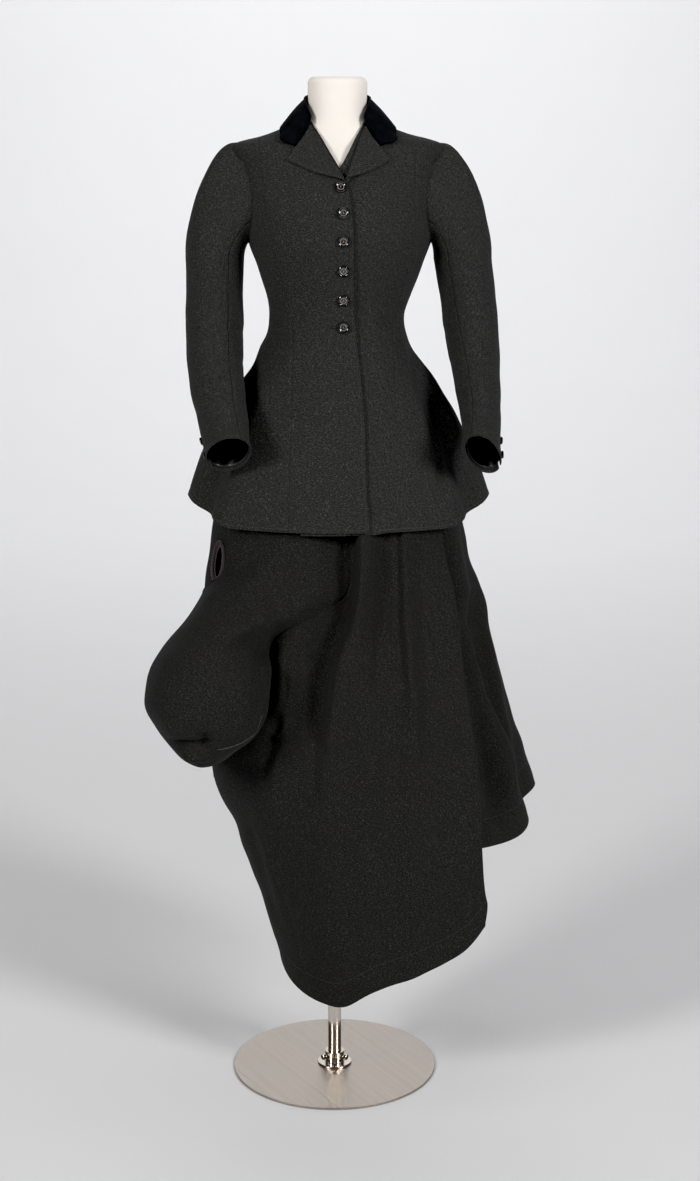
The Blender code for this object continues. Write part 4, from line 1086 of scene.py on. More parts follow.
def side_panels(side, hand):
    """Side front, side back and back of one half of the jacket."""
    rows = runs((1.5702, UNDER_SHOULDER, 16), *FLANK_RUNS)
    far = side_seam(rows) - armhole(rows, ARMHOLE_FRONT) - 0.6 * gap_angle(rows)
    near = np.minimum(side * front_seam(rows, side) + gap_angle(rows), far - 1.2)
    sewn_panel(hand, "side_front", side * near, side * far, rows, 34, FLANK_CREASES)
    rows = runs((1.558, UNDER_SHOULDER, 8), *FLANK_RUNS)
    near = side_seam(rows) + armhole(rows, ARMHOLE_BACK) + 0.6 * gap_angle(rows)
    far = np.maximum(read(BACK_SEAM, "angle", rows) - gap_angle(rows), near + 0.9)
    sewn_panel(hand, "side_back", side * near, side * far, rows, 38, FLANK_CREASES)
    rows = JACKET_ROWS
    near = read(BACK_SEAM, "angle", rows) + gap_angle(rows)
    near = np.where(rows > ARMHOLE_TOP, 90.0 + (near - 90.0) * ease(1.5615, ARMHOLE_TOP, rows), near)
    seam = side_seam(rows) + armhole(rows, ARMHOLE_BACK)
    near = np.where(rows > UNDER_SHOULDER, np.maximum(near, seam + 1.2 * ease(1.566, 1.556, rows)), near)
    far = 180.0 - gap_angle(rows)
    sewn_panel(hand, "back", side * near, side * far, rows, 50, BACK_CREASES)


side_panels(-1, "right")
side_panels(1, "left")

# %% [markdown]
# ## Sleeves
# A sleeve of this time is cut in two, with a bend at the elbow and a full head that is eased into the
# armhole. Its lower part is a row of rings down a bent arm. Its head is a fan of smooth curves that
# start on the armhole and end on the first ring, with small uneven gathers near the top.

# %% arms
RIGHT_ARM = columns(
    "z outward depth across along slope twist",
    (1.380, 0.1875, 0.0040, 0.0465, 0.0590, 0.0, 0.000),
    (1.335, 0.1885, 0.0100, 0.0455, 0.0610, 0.0, 0.000),
    (1.290, 0.1885, 0.0080, 0.0460, 0.0620, 10.0, 0.000),
    (1.250, 0.1890, -0.0100, 0.0455, 0.0580, 27.0, 0.001),
    (1.210, 0.1860, -0.0420, 0.0440, 0.0520, 40.0, 0.002),
    (1.170, 0.1795, -0.0800, 0.0415, 0.0480, 45.0, 0.003),
    (1.130, 0.1700, -0.1190, 0.0380, 0.0450, 45.0, 0.004),
    (1.092, 0.1615, -0.1500, 0.0340, 0.0470, 43.0, 0.008),
)
LEFT_ARM = columns(
    "z outward depth across along slope twist",
    (1.380, 0.2045, 0.0040, 0.0465, 0.0590, 0.0, 0.000),
    (1.335, 0.2115, 0.0100, 0.0450, 0.0610, 0.0, 0.000),
    (1.290, 0.2175, 0.0080, 0.0440, 0.0620, 10.0, 0.000),
    (1.250, 0.2210, -0.0100, 0.0420, 0.0580, 27.0, 0.001),
    (1.210, 0.2250, -0.0420, 0.0380, 0.0520, 40.0, 0.002),
    (1.170, 0.2285, -0.0800, 0.0340, 0.0480, 45.0, 0.003),
    (1.130, 0.2300, -0.1190, 0.0300, 0.0450, 45.0, 0.004),
    (1.092, 0.2310, -0.1500, 0.0265, 0.0520, 43.0, 0.013),
)
ARM_TOP = 1.380
ARM_END = 1.092
VENT_START = 1.135
VENT_OPEN = 6.0
BACK_TURN = -75.0
FRONT_TURN = 122.0
SLEEVE_GAP = 0.0005
SLEEVE_UNDER = 1.3
SLEEVE_SINK = 0.0024

# %% gathers and elbow folds
GATHERS = columns(
    "angle depth width",
    (-58.0, -0.0012, 5.0),
    (-40.0, -0.0018, 5.0),
    (-26.0, -0.0015, 4.0),
    (-12.0, -0.0022, 4.5),
    (1.0, -0.0016, 4.0),
    (13.0, -0.0024, 4.5),
    (27.0, -0.0017, 4.5),
    (41.0, -0.0020, 5.0),
    (60.0, -0.0012, 6.0),
)
ELBOW = columns(
    "turn z lift wide high",
    (150.0, 1.262, -0.0022, 40.0, 0.007),
    (120.0, 1.240, 0.0016, 42.0, 0.009),
    (160.0, 1.218, -0.0018, 36.0, 0.007),
    (60.0, 1.200, -0.0010, 50.0, 0.010),
    (20.0, 1.300, 0.0010, 44.0, 0.016),
    (140.0, 1.172, 0.0010, 50.0, 0.010),
    (-30.0, 1.150, -0.0009, 50.0, 0.012),
)


# %% rings and head of a sleeve
def ring(arm, side, turn, z):
    """Points round a sleeve at a height of its middle line: an ellipse tipped forward by the slope."""
    angle = np.radians(turn)
    slope = np.radians(read(arm, "slope", z))
    x = read(arm, "outward", z) + read(arm, "across", z) * np.cos(angle)
    x = x - read(arm, "twist", z) * np.sin(angle)
    reach = read(arm, "along", z) * np.sin(angle)
    y = read(arm, "depth", z) - reach * np.cos(slope)
    return stacked(side * x, y, z + reach * np.sin(slope))


def sleeve_head(arm, side, turn, t):
    """Cubic curves from the armhole's edge to the first ring, which leave outwards and arrive downwards."""
    rise = np.radians(turn)
    z0 = ARMHOLE_MIDDLE + ARMHOLE_HALF * np.cos(rise)
    ahead = -armhole(z0, ARMHOLE_FRONT) - SLEEVE_UNDER
    behind = armhole(z0, ARMHOLE_BACK) + SLEEVE_UNDER
    share = ease(-0.12, 0.12, np.sin(rise))
    open_at = ahead * share + behind * (1.0 - share)
    start = jacket(side * (90.0 + open_at), z0, -SLEEVE_SINK)
    end = ring(arm, side, turn, ARM_TOP)
    top = (1.0 + np.cos(rise)) / 2.0
    none = np.zeros_like(top)
    out = np.stack((side * (0.020 + 0.100 * top), none, 0.030 * top**4), -1)
    down = np.stack((none, none, -(0.030 + 0.185 * top)), -1)
    t = t[..., None]
    point = start * (1 + 2 * t) * (1 - t) ** 2 + out * t * (1 - t) ** 2
    return point + end * t * t * (3 - 2 * t) + down * t * t * (t - 1)


# %% sleeve pieces
def sleeve_grid(arm, side, turns, head, rows):
    """The head's rows over the arm's rows, then gathers near the armhole and folds at the elbow."""
    cap = sleeve_head(arm, side, turns[: len(head)], head[:, None])
    low = ring(arm, side, turns[len(head) :], rows[:, None])
    points = np.concatenate((cap, low))
    if side > 0:
        points = points[:, ::-1]
        turns = turns[:, ::-1]
    level = np.concatenate((head, np.full(len(rows), 9.0)))[:, None]
    gather = flutes(GATHERS, wrapped(turns), 1.5) * bump(level, 0.11, 0.17) * ease(0.0, 0.05, level)
    lift = gather + 0.0010 * bump(level, 0.10, 0.12)
    height = np.concatenate((np.full(len(head), 9.0), rows))[:, None]
    for turn, z, size, wide, high in zip(*ELBOW.values(), strict=True):
        level = z + 0.00012 * (turns - turn)
        lift = lift + size * bump(np.abs(wrapped(turns - turn)), 0.0, wide) * bump(height, level, high)
    return raised(points, lift)


def sleeve(hand, side, arm):
    """Upper and under sleeve, parted at the back seam for a vent above the mouth."""
    head = runs((0.0, 0.30, 22), (0.30, 1.0, 26))[:-1]
    rows = runs((ARM_TOP, 1.250, 26), (1.250, VENT_START, 30), (VENT_START, ARM_END, 18))
    height = np.concatenate((np.full(len(head), ARMHOLE_BOTTOM), rows))
    bent = 1.0 - ease(1.10, 1.30, height)
    back = BACK_TURN + 33.0 * bent
    front = FRONT_TURN - 8.0 * bent
    seam = np.degrees(SLEEVE_GAP / 0.045)
    vent = VENT_OPEN * ease(VENT_START, ARM_END, height) * (height < VENT_START)
    for part, low, high, count in (
        ("upper", back + seam / 2 + vent, front - seam / 2, 64),
        ("under", front + seam / 2, back + 360.0 - seam / 2 - vent, 36),
    ):
        points = drift(sleeve_grid(arm, side, between(low, high, shares(count)), head, rows))
        points = edged(points, left="pressed", right="pressed", bottom="turned")
        cloth(hand + "_" + part + "_sleeve", points, *JACKET_CLOTH, part + "_sleeve_" + hand)
        topstitch(jacket_seams, points, "bottom")


sleeve("right", -1, RIGHT_ARM)
sleeve("left", 1, LEFT_ARM)

# %% [markdown]
# ## Linings in the cuffs
# Black satin shows inside each sleeve's mouth. It is slacker than the wool, so it lies in soft folds
# that run up the arm, deeper the further they are from the mouth where it is felled down.


# %% cuff linings
LINING_WALL = 0.0006
LINING_GAP = 0.0016


def cuff_lining(hand, side, arm):
    """A tube inside the sleeve whose radius waves: uneven cosines of the turn, growing upwards."""
    rows = runs((1.200, 1.0965, 34))
    turns = np.broadcast_to(np.linspace(0.0, 360.0, 97)[None, :], (len(rows), 97))
    slack = ease(1.097, 1.130, rows)[:, None]
    wave = np.cos(np.radians(turns * 7 + 20)) + 0.6 * np.cos(np.radians(turns * 12 - 60))
    inner = dict(arm)
    for key in ("across", "along"):
        inner[key] = arm[key] - JACKET_WALL - LINING_GAP
    points = ring(inner, side, turns, rows[:, None])
    middle = points[:, :-1].mean(1, keepdims=True)
    draw = 1.0 - slack * (0.085 + 0.055 * wave)
    points = middle + (points - middle) * draw[..., None]
    if side > 0:
        points = points[:, ::-1]
    node = "cuff_lining_" + hand
    cloth(hand + "_cuff_lining", points, LINING_WALL, SATIN, "lining_satin", node, edge=0)


cuff_lining("right", -1, RIGHT_ARM)
cuff_lining("left", 1, LEFT_ARM)

# %% [markdown]
# ## Lapels and collar
# A lapel is the front turned back on itself. Its roll is a fold and not an edge, so the sheet goes on
# round a small half circle and under. The velvet collar folds over a stand in the same way and lies on
# the shoulders with its outer edge.


# %% rolled edges
def rolled(points, edge, radius, count=7):
    """Carries a sheet on past one edge round half a circle, so that the edge becomes a fold."""
    normal = outward(points)
    grid, up = points, normal
    if edge in ("left", "right"):
        grid, up = np.swapaxes(points, 0, 1), np.swapaxes(normal, 0, 1)
    if edge in ("right", "bottom"):
        grid, up = grid[::-1], up[::-1]
    way = unit(grid[0] - grid[1])
    turn = np.linspace(math.pi, 0.0, count, endpoint=False)[:, None, None]
    fold = grid[0] + radius * (np.sin(turn) * way - (1.0 - np.cos(turn)) * up[0])
    grid = np.concatenate((fold, grid))
    if edge in ("right", "bottom"):
        grid = grid[::-1]
    return np.swapaxes(grid, 0, 1) if edge in ("left", "right") else grid


LAPEL_WALL = 0.0022
LAPEL_GAP = 0.0010
LAPEL_STITCH = 0.0042
LAPEL_ROLL = 0.0026
RIGHT_LAPEL = ((-0.034, 1.586), (-0.0595, 1.5515), (-0.0705, 1.5365), (0.016, 1.508))
LEFT_LAPEL = ((0.049, 1.5845), (0.0765, 1.5495), (0.0875, 1.5365), (0.021, 1.510))


def lapel(name, node, corners, side):
    """A four-cornered leaf from its roll to its free edge, sagging a little below its point."""
    roll_top, outer_top, outer_low, roll_low = (np.array(c) for c in corners)
    down = shares(40)[:, None, None]
    over = shares(34)[None, :, None]
    roll = roll_top * (1 - down) + roll_low * down
    outer = outer_top * (1 - down) + outer_low * down
    flat = roll * (1 - over) + outer * over
    over = over[..., 0]
    down = down[..., 0]
    x = flat[..., 0]
    z = flat[..., 1] - 0.0030 * np.sin(np.pi * over) ** 1.5 * down**4
    out = LAPEL_WALL + LAPEL_GAP + 0.0032 * (1.0 - over) ** 2 + 0.0008 * np.sin(np.pi * over)
    points = jacket(jacket_angle(x, z), z, out)
    if side < 0:
        points = points[:, ::-1]
    roll_edge, free = ("right", "left") if side < 0 else ("left", "right")
    points = edged(points, **{free: "turned", "bottom": "turned", "top": "turned"})
    topstitch(jacket_seams, points[:-2], free, LAPEL_STITCH)
    topstitch(jacket_seams, points, "bottom", LAPEL_STITCH)
    points = rolled(points, roll_edge, LAPEL_ROLL)
    cloth(name, points, LAPEL_WALL, JACKET_WOOL, "jacket_wool", node, held="folded", edge=0.0006)


lapel("right_lapel", "lapel_right", RIGHT_LAPEL, -1)
lapel("left_lapel", "lapel_left", LEFT_LAPEL, 1)

# %% the collar's table
COLLAR = columns(
    "turn x y top angle low",
    (0.00, 0.0000, 0.0525, 1.6390, 180.0, 1.5830),
    (0.30, 0.0390, 0.0380, 1.6345, 137.0, 1.5840),
    (0.55, 0.0500, 0.0040, 1.6275, 92.0, 1.5855),
    (0.72, 0.0455, -0.0260, 1.6150, 67.0, 1.5790),
    (0.86, 0.0430, -0.0400, 1.5960, 47.0, 1.5700),
    (1.00, 0.0655, -0.0640, 1.5560, 31.5, 1.5585),
)
COLLAR_WALL = 0.0024
STAND_WALL = 0.0016
LAY_GAP = 0.0004
COLLAR_EASE = 0.0012
COLLAR_DROP = 0.0042
COLLAR_END = 0.945
COLLAR_PUFF = 0.0016
NECK_MIDDLE = 0.0070
STAND_TUCK = 0.955
STAND_DROP = 0.0065


# %% the collar's lines
def sided(name, turn):
    """A column of the collar by the way from the middle of the back, with the sign of the turn."""
    return read(COLLAR, name, np.abs(turn)) * np.where(turn < 0.0, -1.0, 1.0)


def collar_top(turn):
    """The collar's fold from one front end (-1) round the neck to the other (1)."""
    size = np.abs(turn)
    return stacked(NECK_MIDDLE + sided("x", turn), read(COLLAR, "y", size), read(COLLAR, "top", size))


def lying_edge(turn, lift):
    """Where the collar's outer edge lies: a place on the jacket, raised along the jacket's normal."""
    angle = sided("angle", turn)
    z = read(COLLAR, "low", np.abs(turn))
    here = jacket(angle, z)
    return here + jacket_normal(angle, z, here) * lift


# %% collar and stand
def collar():
    """Straight lines from the fold to the lying edge, puffed by a half wave, with rounded ends."""
    even_turn = np.linspace(-1.0, 1.0, 121)
    turn = np.sign(even_turn) * (1.0 - (1.0 - np.abs(even_turn)) ** 1.25)
    inner = collar_top(turn)
    inner[:, 2] -= COLLAR_DROP * ease(1.0, 0.8, np.abs(turn))
    outer = lying_edge(turn, COLLAR_WALL + LAY_GAP + COLLAR_EASE)
    end = np.clip((np.abs(turn) - COLLAR_END) / (1.0 - COLLAR_END), 0.0, 1.0)
    corner = 1.0 - np.sqrt(1.0 - 0.98 * end**2)
    reach = 1.0 - 0.13 * corner
    start = 0.05 * corner
    share = start + (reach - start) * shares(30)[:, None]
    rows = inner * (1 - share[..., None]) + outer * share[..., None]
    away = rows - np.array([NECK_MIDDLE, 0.0, 0.0])
    away[..., 2] = 0.0
    puff = COLLAR_PUFF * np.sin(np.pi * share)
    rows = rows + unit(away) * puff[..., None]
    rows[..., 2] += puff
    rows = edged(rows, bottom="turned")
    rows = rolled(rows, "top", 0.0022, 6)
    cloth("velvet_collar", rows, COLLAR_WALL, VELVET, "collar_velvet", "collar", held="folded", edge=0.0008)


def stand():
    """The band under the fold, straight from the neck seam to just below the collar's top."""
    turn = np.linspace(-0.70, 0.70, 81)
    low = jacket(sided("angle", turn), np.full(len(turn), BODY["z"][0]))
    low[:, 2] += LAY_GAP
    top = collar_top(turn)
    top[:, 1] *= STAND_TUCK
    top[:, 2] -= STAND_DROP
    share = np.linspace(0.0, 1.0, 14)[:, None, None]
    points = top * (1 - share) + low * share
    cloth("neck_stand", points, STAND_WALL, JACKET_WOOL, "jacket_wool", "collar_stand")


stand()
collar()

# %% [markdown]
# ## Buttons and buttonholes
# A button is a turned profile: a round side, a dish and a flat eye in it. A ring of light grey round the eye
# is a painted highlight, and two short golden threads lie across it. Each button is set along the cloth's
# own normal. Its buttonhole is a strand of dark thread that paints the shade of its slit, with a fence of
# small stitches on either side.


# %% turned pieces
ORIGIN = np.zeros(3)
UP = np.array([0.0, 0.0, 1.0])


def arc(start, end, bulge, count=5):
    """Points of a bent line between two places, pushed out by a half wave to one side."""
    t = np.linspace(0.0, 1.0, count, endpoint=False)[:, None]
    start, end = np.array(start, float), np.array(end, float)
    way = end - start
    return start + way * t + np.array([way[1], -way[0]]) * bulge * np.sin(np.pi * t)


def turned_rings(profile, steps):
    """Rings of points for a profile of (radius, height) that is turned about the Z axis."""
    r, z = np.asarray(profile, float).T[..., None]
    turn = np.arange(steps) * 2.0 * math.pi / steps
    return stacked(r * np.cos(turn), r * np.sin(turn), z)


def lathe(profile, steps, place, axis):
    """Points and faces of a profile that is turned about any axis and closed at both poles."""
    rings = turned_rings(profile, steps)
    points = np.concatenate((rings[0, :1], rings[1:-1].reshape(-1, 3), rings[-1, :1]))
    turned = np.array(Vector(axis).to_track_quat("Z", "Y").to_matrix())
    return points @ turned.T + np.array(place), polar_faces(len(rings) - 2, steps)


def turned_piece(name, profile, steps, look, slot, node, place=ORIGIN, axis=UP, sharp=40.0):
    """A solid of revolution as one piece, with its sharp edges kept by their angle."""
    mesh = plain_mesh(name, *lathe(profile, steps, place, axis))
    mesh.set_sharp_from_angle(angle=math.radians(sharp))
    add(name, mesh, look, slot, node)


# %% button profile
BUTTON_CORNERS = ((0.0, 0.0), (0.70, 0.0), (1.0, 0.45), (0.90, 1.0), (0.62, 0.56), (0.40, 0.50), (0.0, 0.50))
BUTTON_BENDS = ((0.0, 3), (0.14, 5), (0.20, 7), (-0.10, 8), (0.0, 3), (0.0, 3))


def button_profile(radius, height):
    """Flat back, round outer side, a dish inside the rim and a flat eye, as shares of the button's size."""
    corners = np.array(BUTTON_CORNERS) * (radius, height)
    ends = zip(corners[:-1], corners[1:], BUTTON_BENDS, strict=True)
    return np.concatenate([arc(start, end, *bend) for start, end, bend in ends] + [corners[-1:]])


def on_jacket(x, z):
    """A place on the jacket's front and its normal there."""
    angle = float(jacket_angle(x, z))
    here = jacket(angle, z)
    return here, jacket_normal(angle, z, here)


# %% closed cords and rings
def closed_faces(rows, around):
    """Corner numbers of the squares of a grid that closes on itself both ways."""
    k = np.arange(rows)[:, None]
    j = np.arange(around)
    n, m = (k + 1) % rows, (j + 1) % around
    return stacked(k * around + j, k * around + m, n * around + m, n * around + j).reshape(-1, 4)


def tube(name, path, normal, wide, high, around, look, slot, *nodes):
    """A closed flat cord: ellipses spanned by the sideways direction and the normal."""
    path, normal = path[:-1], normal[:-1]
    way = np.roll(path, -1, 0) - np.roll(path, 1, 0)
    side = unit(np.cross(way, normal))
    up = unit(np.cross(side, way))
    turn = (np.arange(around) * 2.0 * math.pi / around)[:, None]
    rings = path[:, None] + wide * np.cos(turn) * side[:, None] + high * np.sin(turn) * up[:, None]
    add(name, plain_mesh(name, rings, closed_faces(len(path), around)), look, slot, *nodes)


def button_ring(name, place, out, radius, thick):
    """The ring of painted highlight round a button's eye: a light grey circle in the plane across the
    button's axis.
    """
    turn = np.linspace(0.0, 2.0 * math.pi, 41)[:, None]
    side = unit(np.cross(UP, out))
    path = place + radius * (np.cos(turn) * side + np.sin(turn) * np.cross(out, side))
    tube(name, path, np.broadcast_to(out, path.shape), thick, thick, 10, JET_HIGHLIGHT, "button_black")


# %% front buttons
BUTTON_RADIUS = 0.009
BUTTON_HEIGHT = 0.0042
BUTTON_LEVELS = (1.496, 1.458, 1.416, 1.371, 1.325, 1.282)
BUTTON_LEANS = (20.0, -14.0, 35.0, 4.0, 50.0, -30.0)
EYE_HEIGHT = 0.62
EYE_THREAD = 0.0019
EYE_APART = 0.00055
RING_THICK = 0.00075
CLEAR = 0.0005
HOLE_FROM = 0.021
HOLE_WIDE = 0.0011
hole_rows = []
slit_shade_rows = []
eye_rows = []


def button_x(z):
    """The line of buttons, which keeps four degrees off the edge towards the lapels."""
    edge = float(jacket_angle(read(FRONT_EDGE, "x", z), z))
    angle = min(float(jacket_angle(FRONT_LINE, z)), edge - 4.0)
    return float(read(BODY, "middle", z) + read(BODY, "half", z) * math.sin(math.radians(angle)))


# %% buttonholes
def buttonhole(x, z):
    """A slit from the button's edge outwards, fenced by stitches that stand across it, with a dark strand in
    it as painted shade.
    """
    steps = np.linspace(-HOLE_FROM, -BUTTON_RADIUS * 0.5, 14)
    angle = jacket_angle(x + steps, np.full(len(steps), z))
    line = jacket(angle, np.full(len(steps), z), 0.0006)
    normal = jacket_normal(angle, z, line)
    for way in (-1.0, 1.0):
        low = line + UP * way * HOLE_WIDE * 0.35
        hole_rows.append((low, low + UP * way * HOLE_WIDE, normal))
    # A dark strand laid along the slit: painted shade of the opening.
    slit_shade_rows.append((line[:-1] - normal[:-1] * 0.0002, line[1:], normal[:-1]))


# %% six buttons
def front_buttons():
    """Six buttons down the right front, each with its thread mark and its buttonhole."""
    profile = button_profile(BUTTON_RADIUS, BUTTON_HEIGHT)
    for number, (z, lean) in enumerate(zip(BUTTON_LEVELS, np.radians(BUTTON_LEANS), strict=True), 1):
        x = button_x(z)
        here, out = on_jacket(x, z)
        place = here + out * CLEAR
        name = "coat_button_" + str(number)
        turned_piece(name, profile, 48, JET, "button_black", "button_" + str(number), place, out)
        top = place + out * (BUTTON_HEIGHT * EYE_HEIGHT)
        button_ring(name + "_ring", top, out, BUTTON_RADIUS * 0.50, RING_THICK)
        way = UP * math.cos(lean) + np.cross(UP, out) * math.sin(lean)
        for shift in (-EYE_APART, EYE_APART):
            base = top + np.cross(out, way) * shift
            eye_rows.append(((base - way * EYE_THREAD)[None], (base + way * EYE_THREAD)[None], out[None]))
        buttonhole(x, z)


front_buttons()
sew_all("buttonhole_stitches", hole_rows, TWIST_AND_SLIT_SHADE, "button_black", 0.00045)
# The slits' dark strands are painted shade.
sew_all("buttonhole_slit_shade", slit_shade_rows, TWIST_AND_SLIT_SHADE, "button_black", 0.00085)
sew_all("button_threads", eye_rows, GOLD_THREAD, "slit_binding", 0.00050)

# %% cuff buttons
CUFF_BUTTON_RADIUS = 0.0062
CUFF_BUTTON_HEIGHT = 0.0036
CUFF_BUTTON_LEVELS = (1.122, 1.103)
CUFF_BUTTON_TURN = -26.0


def cuff_buttons(hand, side, arm):
    """Two small buttons beside the vent of a cuff, on the sleeve's own normal."""
    profile = button_profile(CUFF_BUTTON_RADIUS, CUFF_BUTTON_HEIGHT)
    for number, z in enumerate(CUFF_BUTTON_LEVELS, 1):
        here = ring(arm, side, CUFF_BUTTON_TURN, z)
        beside = ring(arm, side, CUFF_BUTTON_TURN + 2.0, z) - here
        below = ring(arm, side, CUFF_BUTTON_TURN, z - 0.004) - here
        out = unit(np.cross(beside, below))
        out = -out if out[0] * side < 0 else out
        name = hand + "_sleeve_button_" + str(number)
        node = "cuff_button_" + hand + "_" + str(number)
        turned_piece(name, profile, 32, JET, "button_black", node, here + out * CLEAR, out)


cuff_buttons("right", -1, RIGHT_ARM)
cuff_buttons("left", 1, LEFT_ARM)

# %% [markdown]
# ## The skirt's face
# The skirt is built in level sections too. Its front hangs in long folds that swing to the left on
# their way down, and its back in flutes that grow towards the hem. Fold lines are tables of x at a few
# heights, so a fold can lean and fade.

# %% skirt sections
SKIRT = columns(
    "z left right front back",
    (1.285, -0.0960, 0.1070, 0.0885, 0.0740),
    (1.262, -0.0970, 0.1080, 0.0890, 0.0760),
    (1.230, -0.1080, 0.1200, 0.0920, 0.0840),
    (1.190, -0.1300, 0.1420, 0.0960, 0.0960),
    (1.100, -0.1680, 0.1810, 0.1120, 0.1230),
    (1.000, -0.1900, 0.2030, 0.1310, 0.1460),
    (0.940, -0.1990, 0.2130, 0.1420, 0.1590),
    (0.860, -0.2100, 0.2300, 0.1560, 0.1730),
    (0.770, -0.2120, 0.2520, 0.1680, 0.1880),
    (0.700, -0.2110, 0.2690, 0.1760, 0.2000),
    (0.620, -0.2060, 0.2910, 0.1830, 0.2120),
    (0.540, -0.2020, 0.3160, 0.1860, 0.2220),
    (0.500, -0.1920, 0.3290, 0.1870, 0.2270),
    (0.460, -0.1715, 0.3400, 0.1870, 0.2320),
    (0.390, -0.1480, 0.3440, 0.1850, 0.2380),
    (0.320, -0.1240, 0.3470, 0.1800, 0.2400),
    (0.250, -0.1040, 0.3420, 0.1730, 0.2360),
    (0.160, -0.0820, 0.3300, 0.1620, 0.2300),
)
FOLD_HEIGHTS = (0.55, 0.70, 0.80, 0.96)
FRONT_FOLDS = columns(
    "x96 x80 x70 x55 height width",
    (0.048, 0.032, 0.004, -0.012, 0.0060, 0.020),
    (0.006, -0.014, -0.044, -0.060, -0.0050, 0.024),
    (0.076, 0.085, 0.092, 0.100, -0.0075, 0.017),
    (0.113, 0.117, 0.120, 0.124, 0.0070, 0.016),
    (0.040, 0.040, 0.046, 0.052, 0.0040, 0.014),
)
BACK_FLUTES = columns(
    "angle depth width",
    (62.0, 0.002, 10.0),
    (82.0, -0.022, 9.0),
    (104.0, 0.017, 12.0),
    (128.0, -0.012, 12.0),
    (150.0, 0.010, 12.0),
    (175.0, -0.014, 12.0),
    (202.0, 0.010, 13.0),
    (228.0, -0.010, 12.0),
)


# %% skirt face
def skirt_fold(x, z):
    """Sum of the front's folds: bell curves across lines that lean, growing below the hips."""
    total = np.zeros(np.broadcast(x, z).shape)
    grow = ease(1.16, 1.00, z) * 0.5 + ease(0.975, 0.92, z) * 0.5
    fade = 0.35 + 0.65 * ease(0.40, 0.72, z)
    for x96, x80, x70, x55, height, width in zip(*FRONT_FOLDS.values(), strict=True):
        line = np.interp(z, FOLD_HEIGHTS, (x55, x70, x80, x96))
        total = total + height * bump(x, line, width * (1.35 - 0.35 * ease(0.45, 0.85, z)))
    return total * grow * fade


def skirt(angle, z, lift=0.0, folds=0.0, fluted=0.0):
    """A point of the skirt's outer face by angle and height, moved out by its folds or flutes."""
    angle = np.asarray(angle, float)
    z = np.asarray(z, float)
    left, right = read(SKIRT, "left", z), read(SKIRT, "right", z)
    x0 = (left + right) / 2.0 + (right - left) / 2.0 * np.sin(np.radians(angle))
    wave = flutes(BACK_FLUTES, angle % 360.0, 1.0 - ease(0.45, 1.12, z))
    out = lift + folds * skirt_fold(x0, z) + fluted * wave
    x, y = ellipse(angle, left, right, read(SKIRT, "front", z), read(SKIRT, "back", z), out)
    return stacked(x, y, z)


def skirt_angle(x, z):
    """The angle of the skirt's front at an x."""
    left, right = read(SKIRT, "left", z), read(SKIRT, "right", z)
    return front_angle(x, (left + right) / 2.0, (right - left) / 2.0)


hips = float(read(SKIRT, "right", 1.0) - read(SKIRT, "left", 1.0))
print("the skirt is", round(hips, 3), "m wide at a height of 1 m")

# %% [markdown]
# ## The long front of the skirt
# The front is the apron of the habit: one wide piece from a seam over the right knee to a free edge on
# the wearer's left, with a long slanting hem. Besides its hanging folds it has a short dart, soft
# streaks below the knee seam, and a deep hem whose sewing shows as a faint line.

# %% lines of the long front
OVERLAP = columns(
    "z x",
    (1.285, 0.078),
    (1.190, 0.112),
    (1.100, 0.140),
    (0.970, 0.166),
    (0.857, 0.181),
    (0.750, 0.192),
    (0.680, 0.203),
    (0.600, 0.2145),
    (0.530, 0.224),
    (0.440, 0.228),
    (0.360, 0.2365),
    (0.320, 0.2415),
    (0.250, 0.236),
    (0.180, 0.226),
)
KNEE_SEAM = columns(
    "z x",
    (1.285, 0.026),
    (1.100, 0.026),
    (0.960, 0.024),
    (0.900, 0.025),
    (0.875, 0.023),
    (0.858, 0.014),
    (0.845, -0.006),
    (0.832, -0.034),
    (0.818, -0.066),
    (0.804, -0.088),
    (0.785, -0.098),
    (0.750, -0.105),
    (0.710, -0.109),
    (0.672, -0.116),
    (0.645, -0.134),
    (0.625, -0.156),
    (0.604, -0.174),
    (0.590, -0.184),
)
FRONT_HEM = columns(
    "share rise",
    (0.0, 0.228),
    (0.12, 0.198),
    (0.28, 0.175),
    (0.42, 0.166),
    (0.52, 0.170),
    (0.62, 0.200),
    (0.80, 0.241),
    (0.93, 0.278),
    (1.0, 0.324),
)
LEFT_EDGE = -85.9
WRAP_EDGE = -98.0
FRONT_LAYER = 0.0032
EDGE_FLARE = 0.0180
HEM_SPREAD = 0.405
HEM_ROW = 0.250

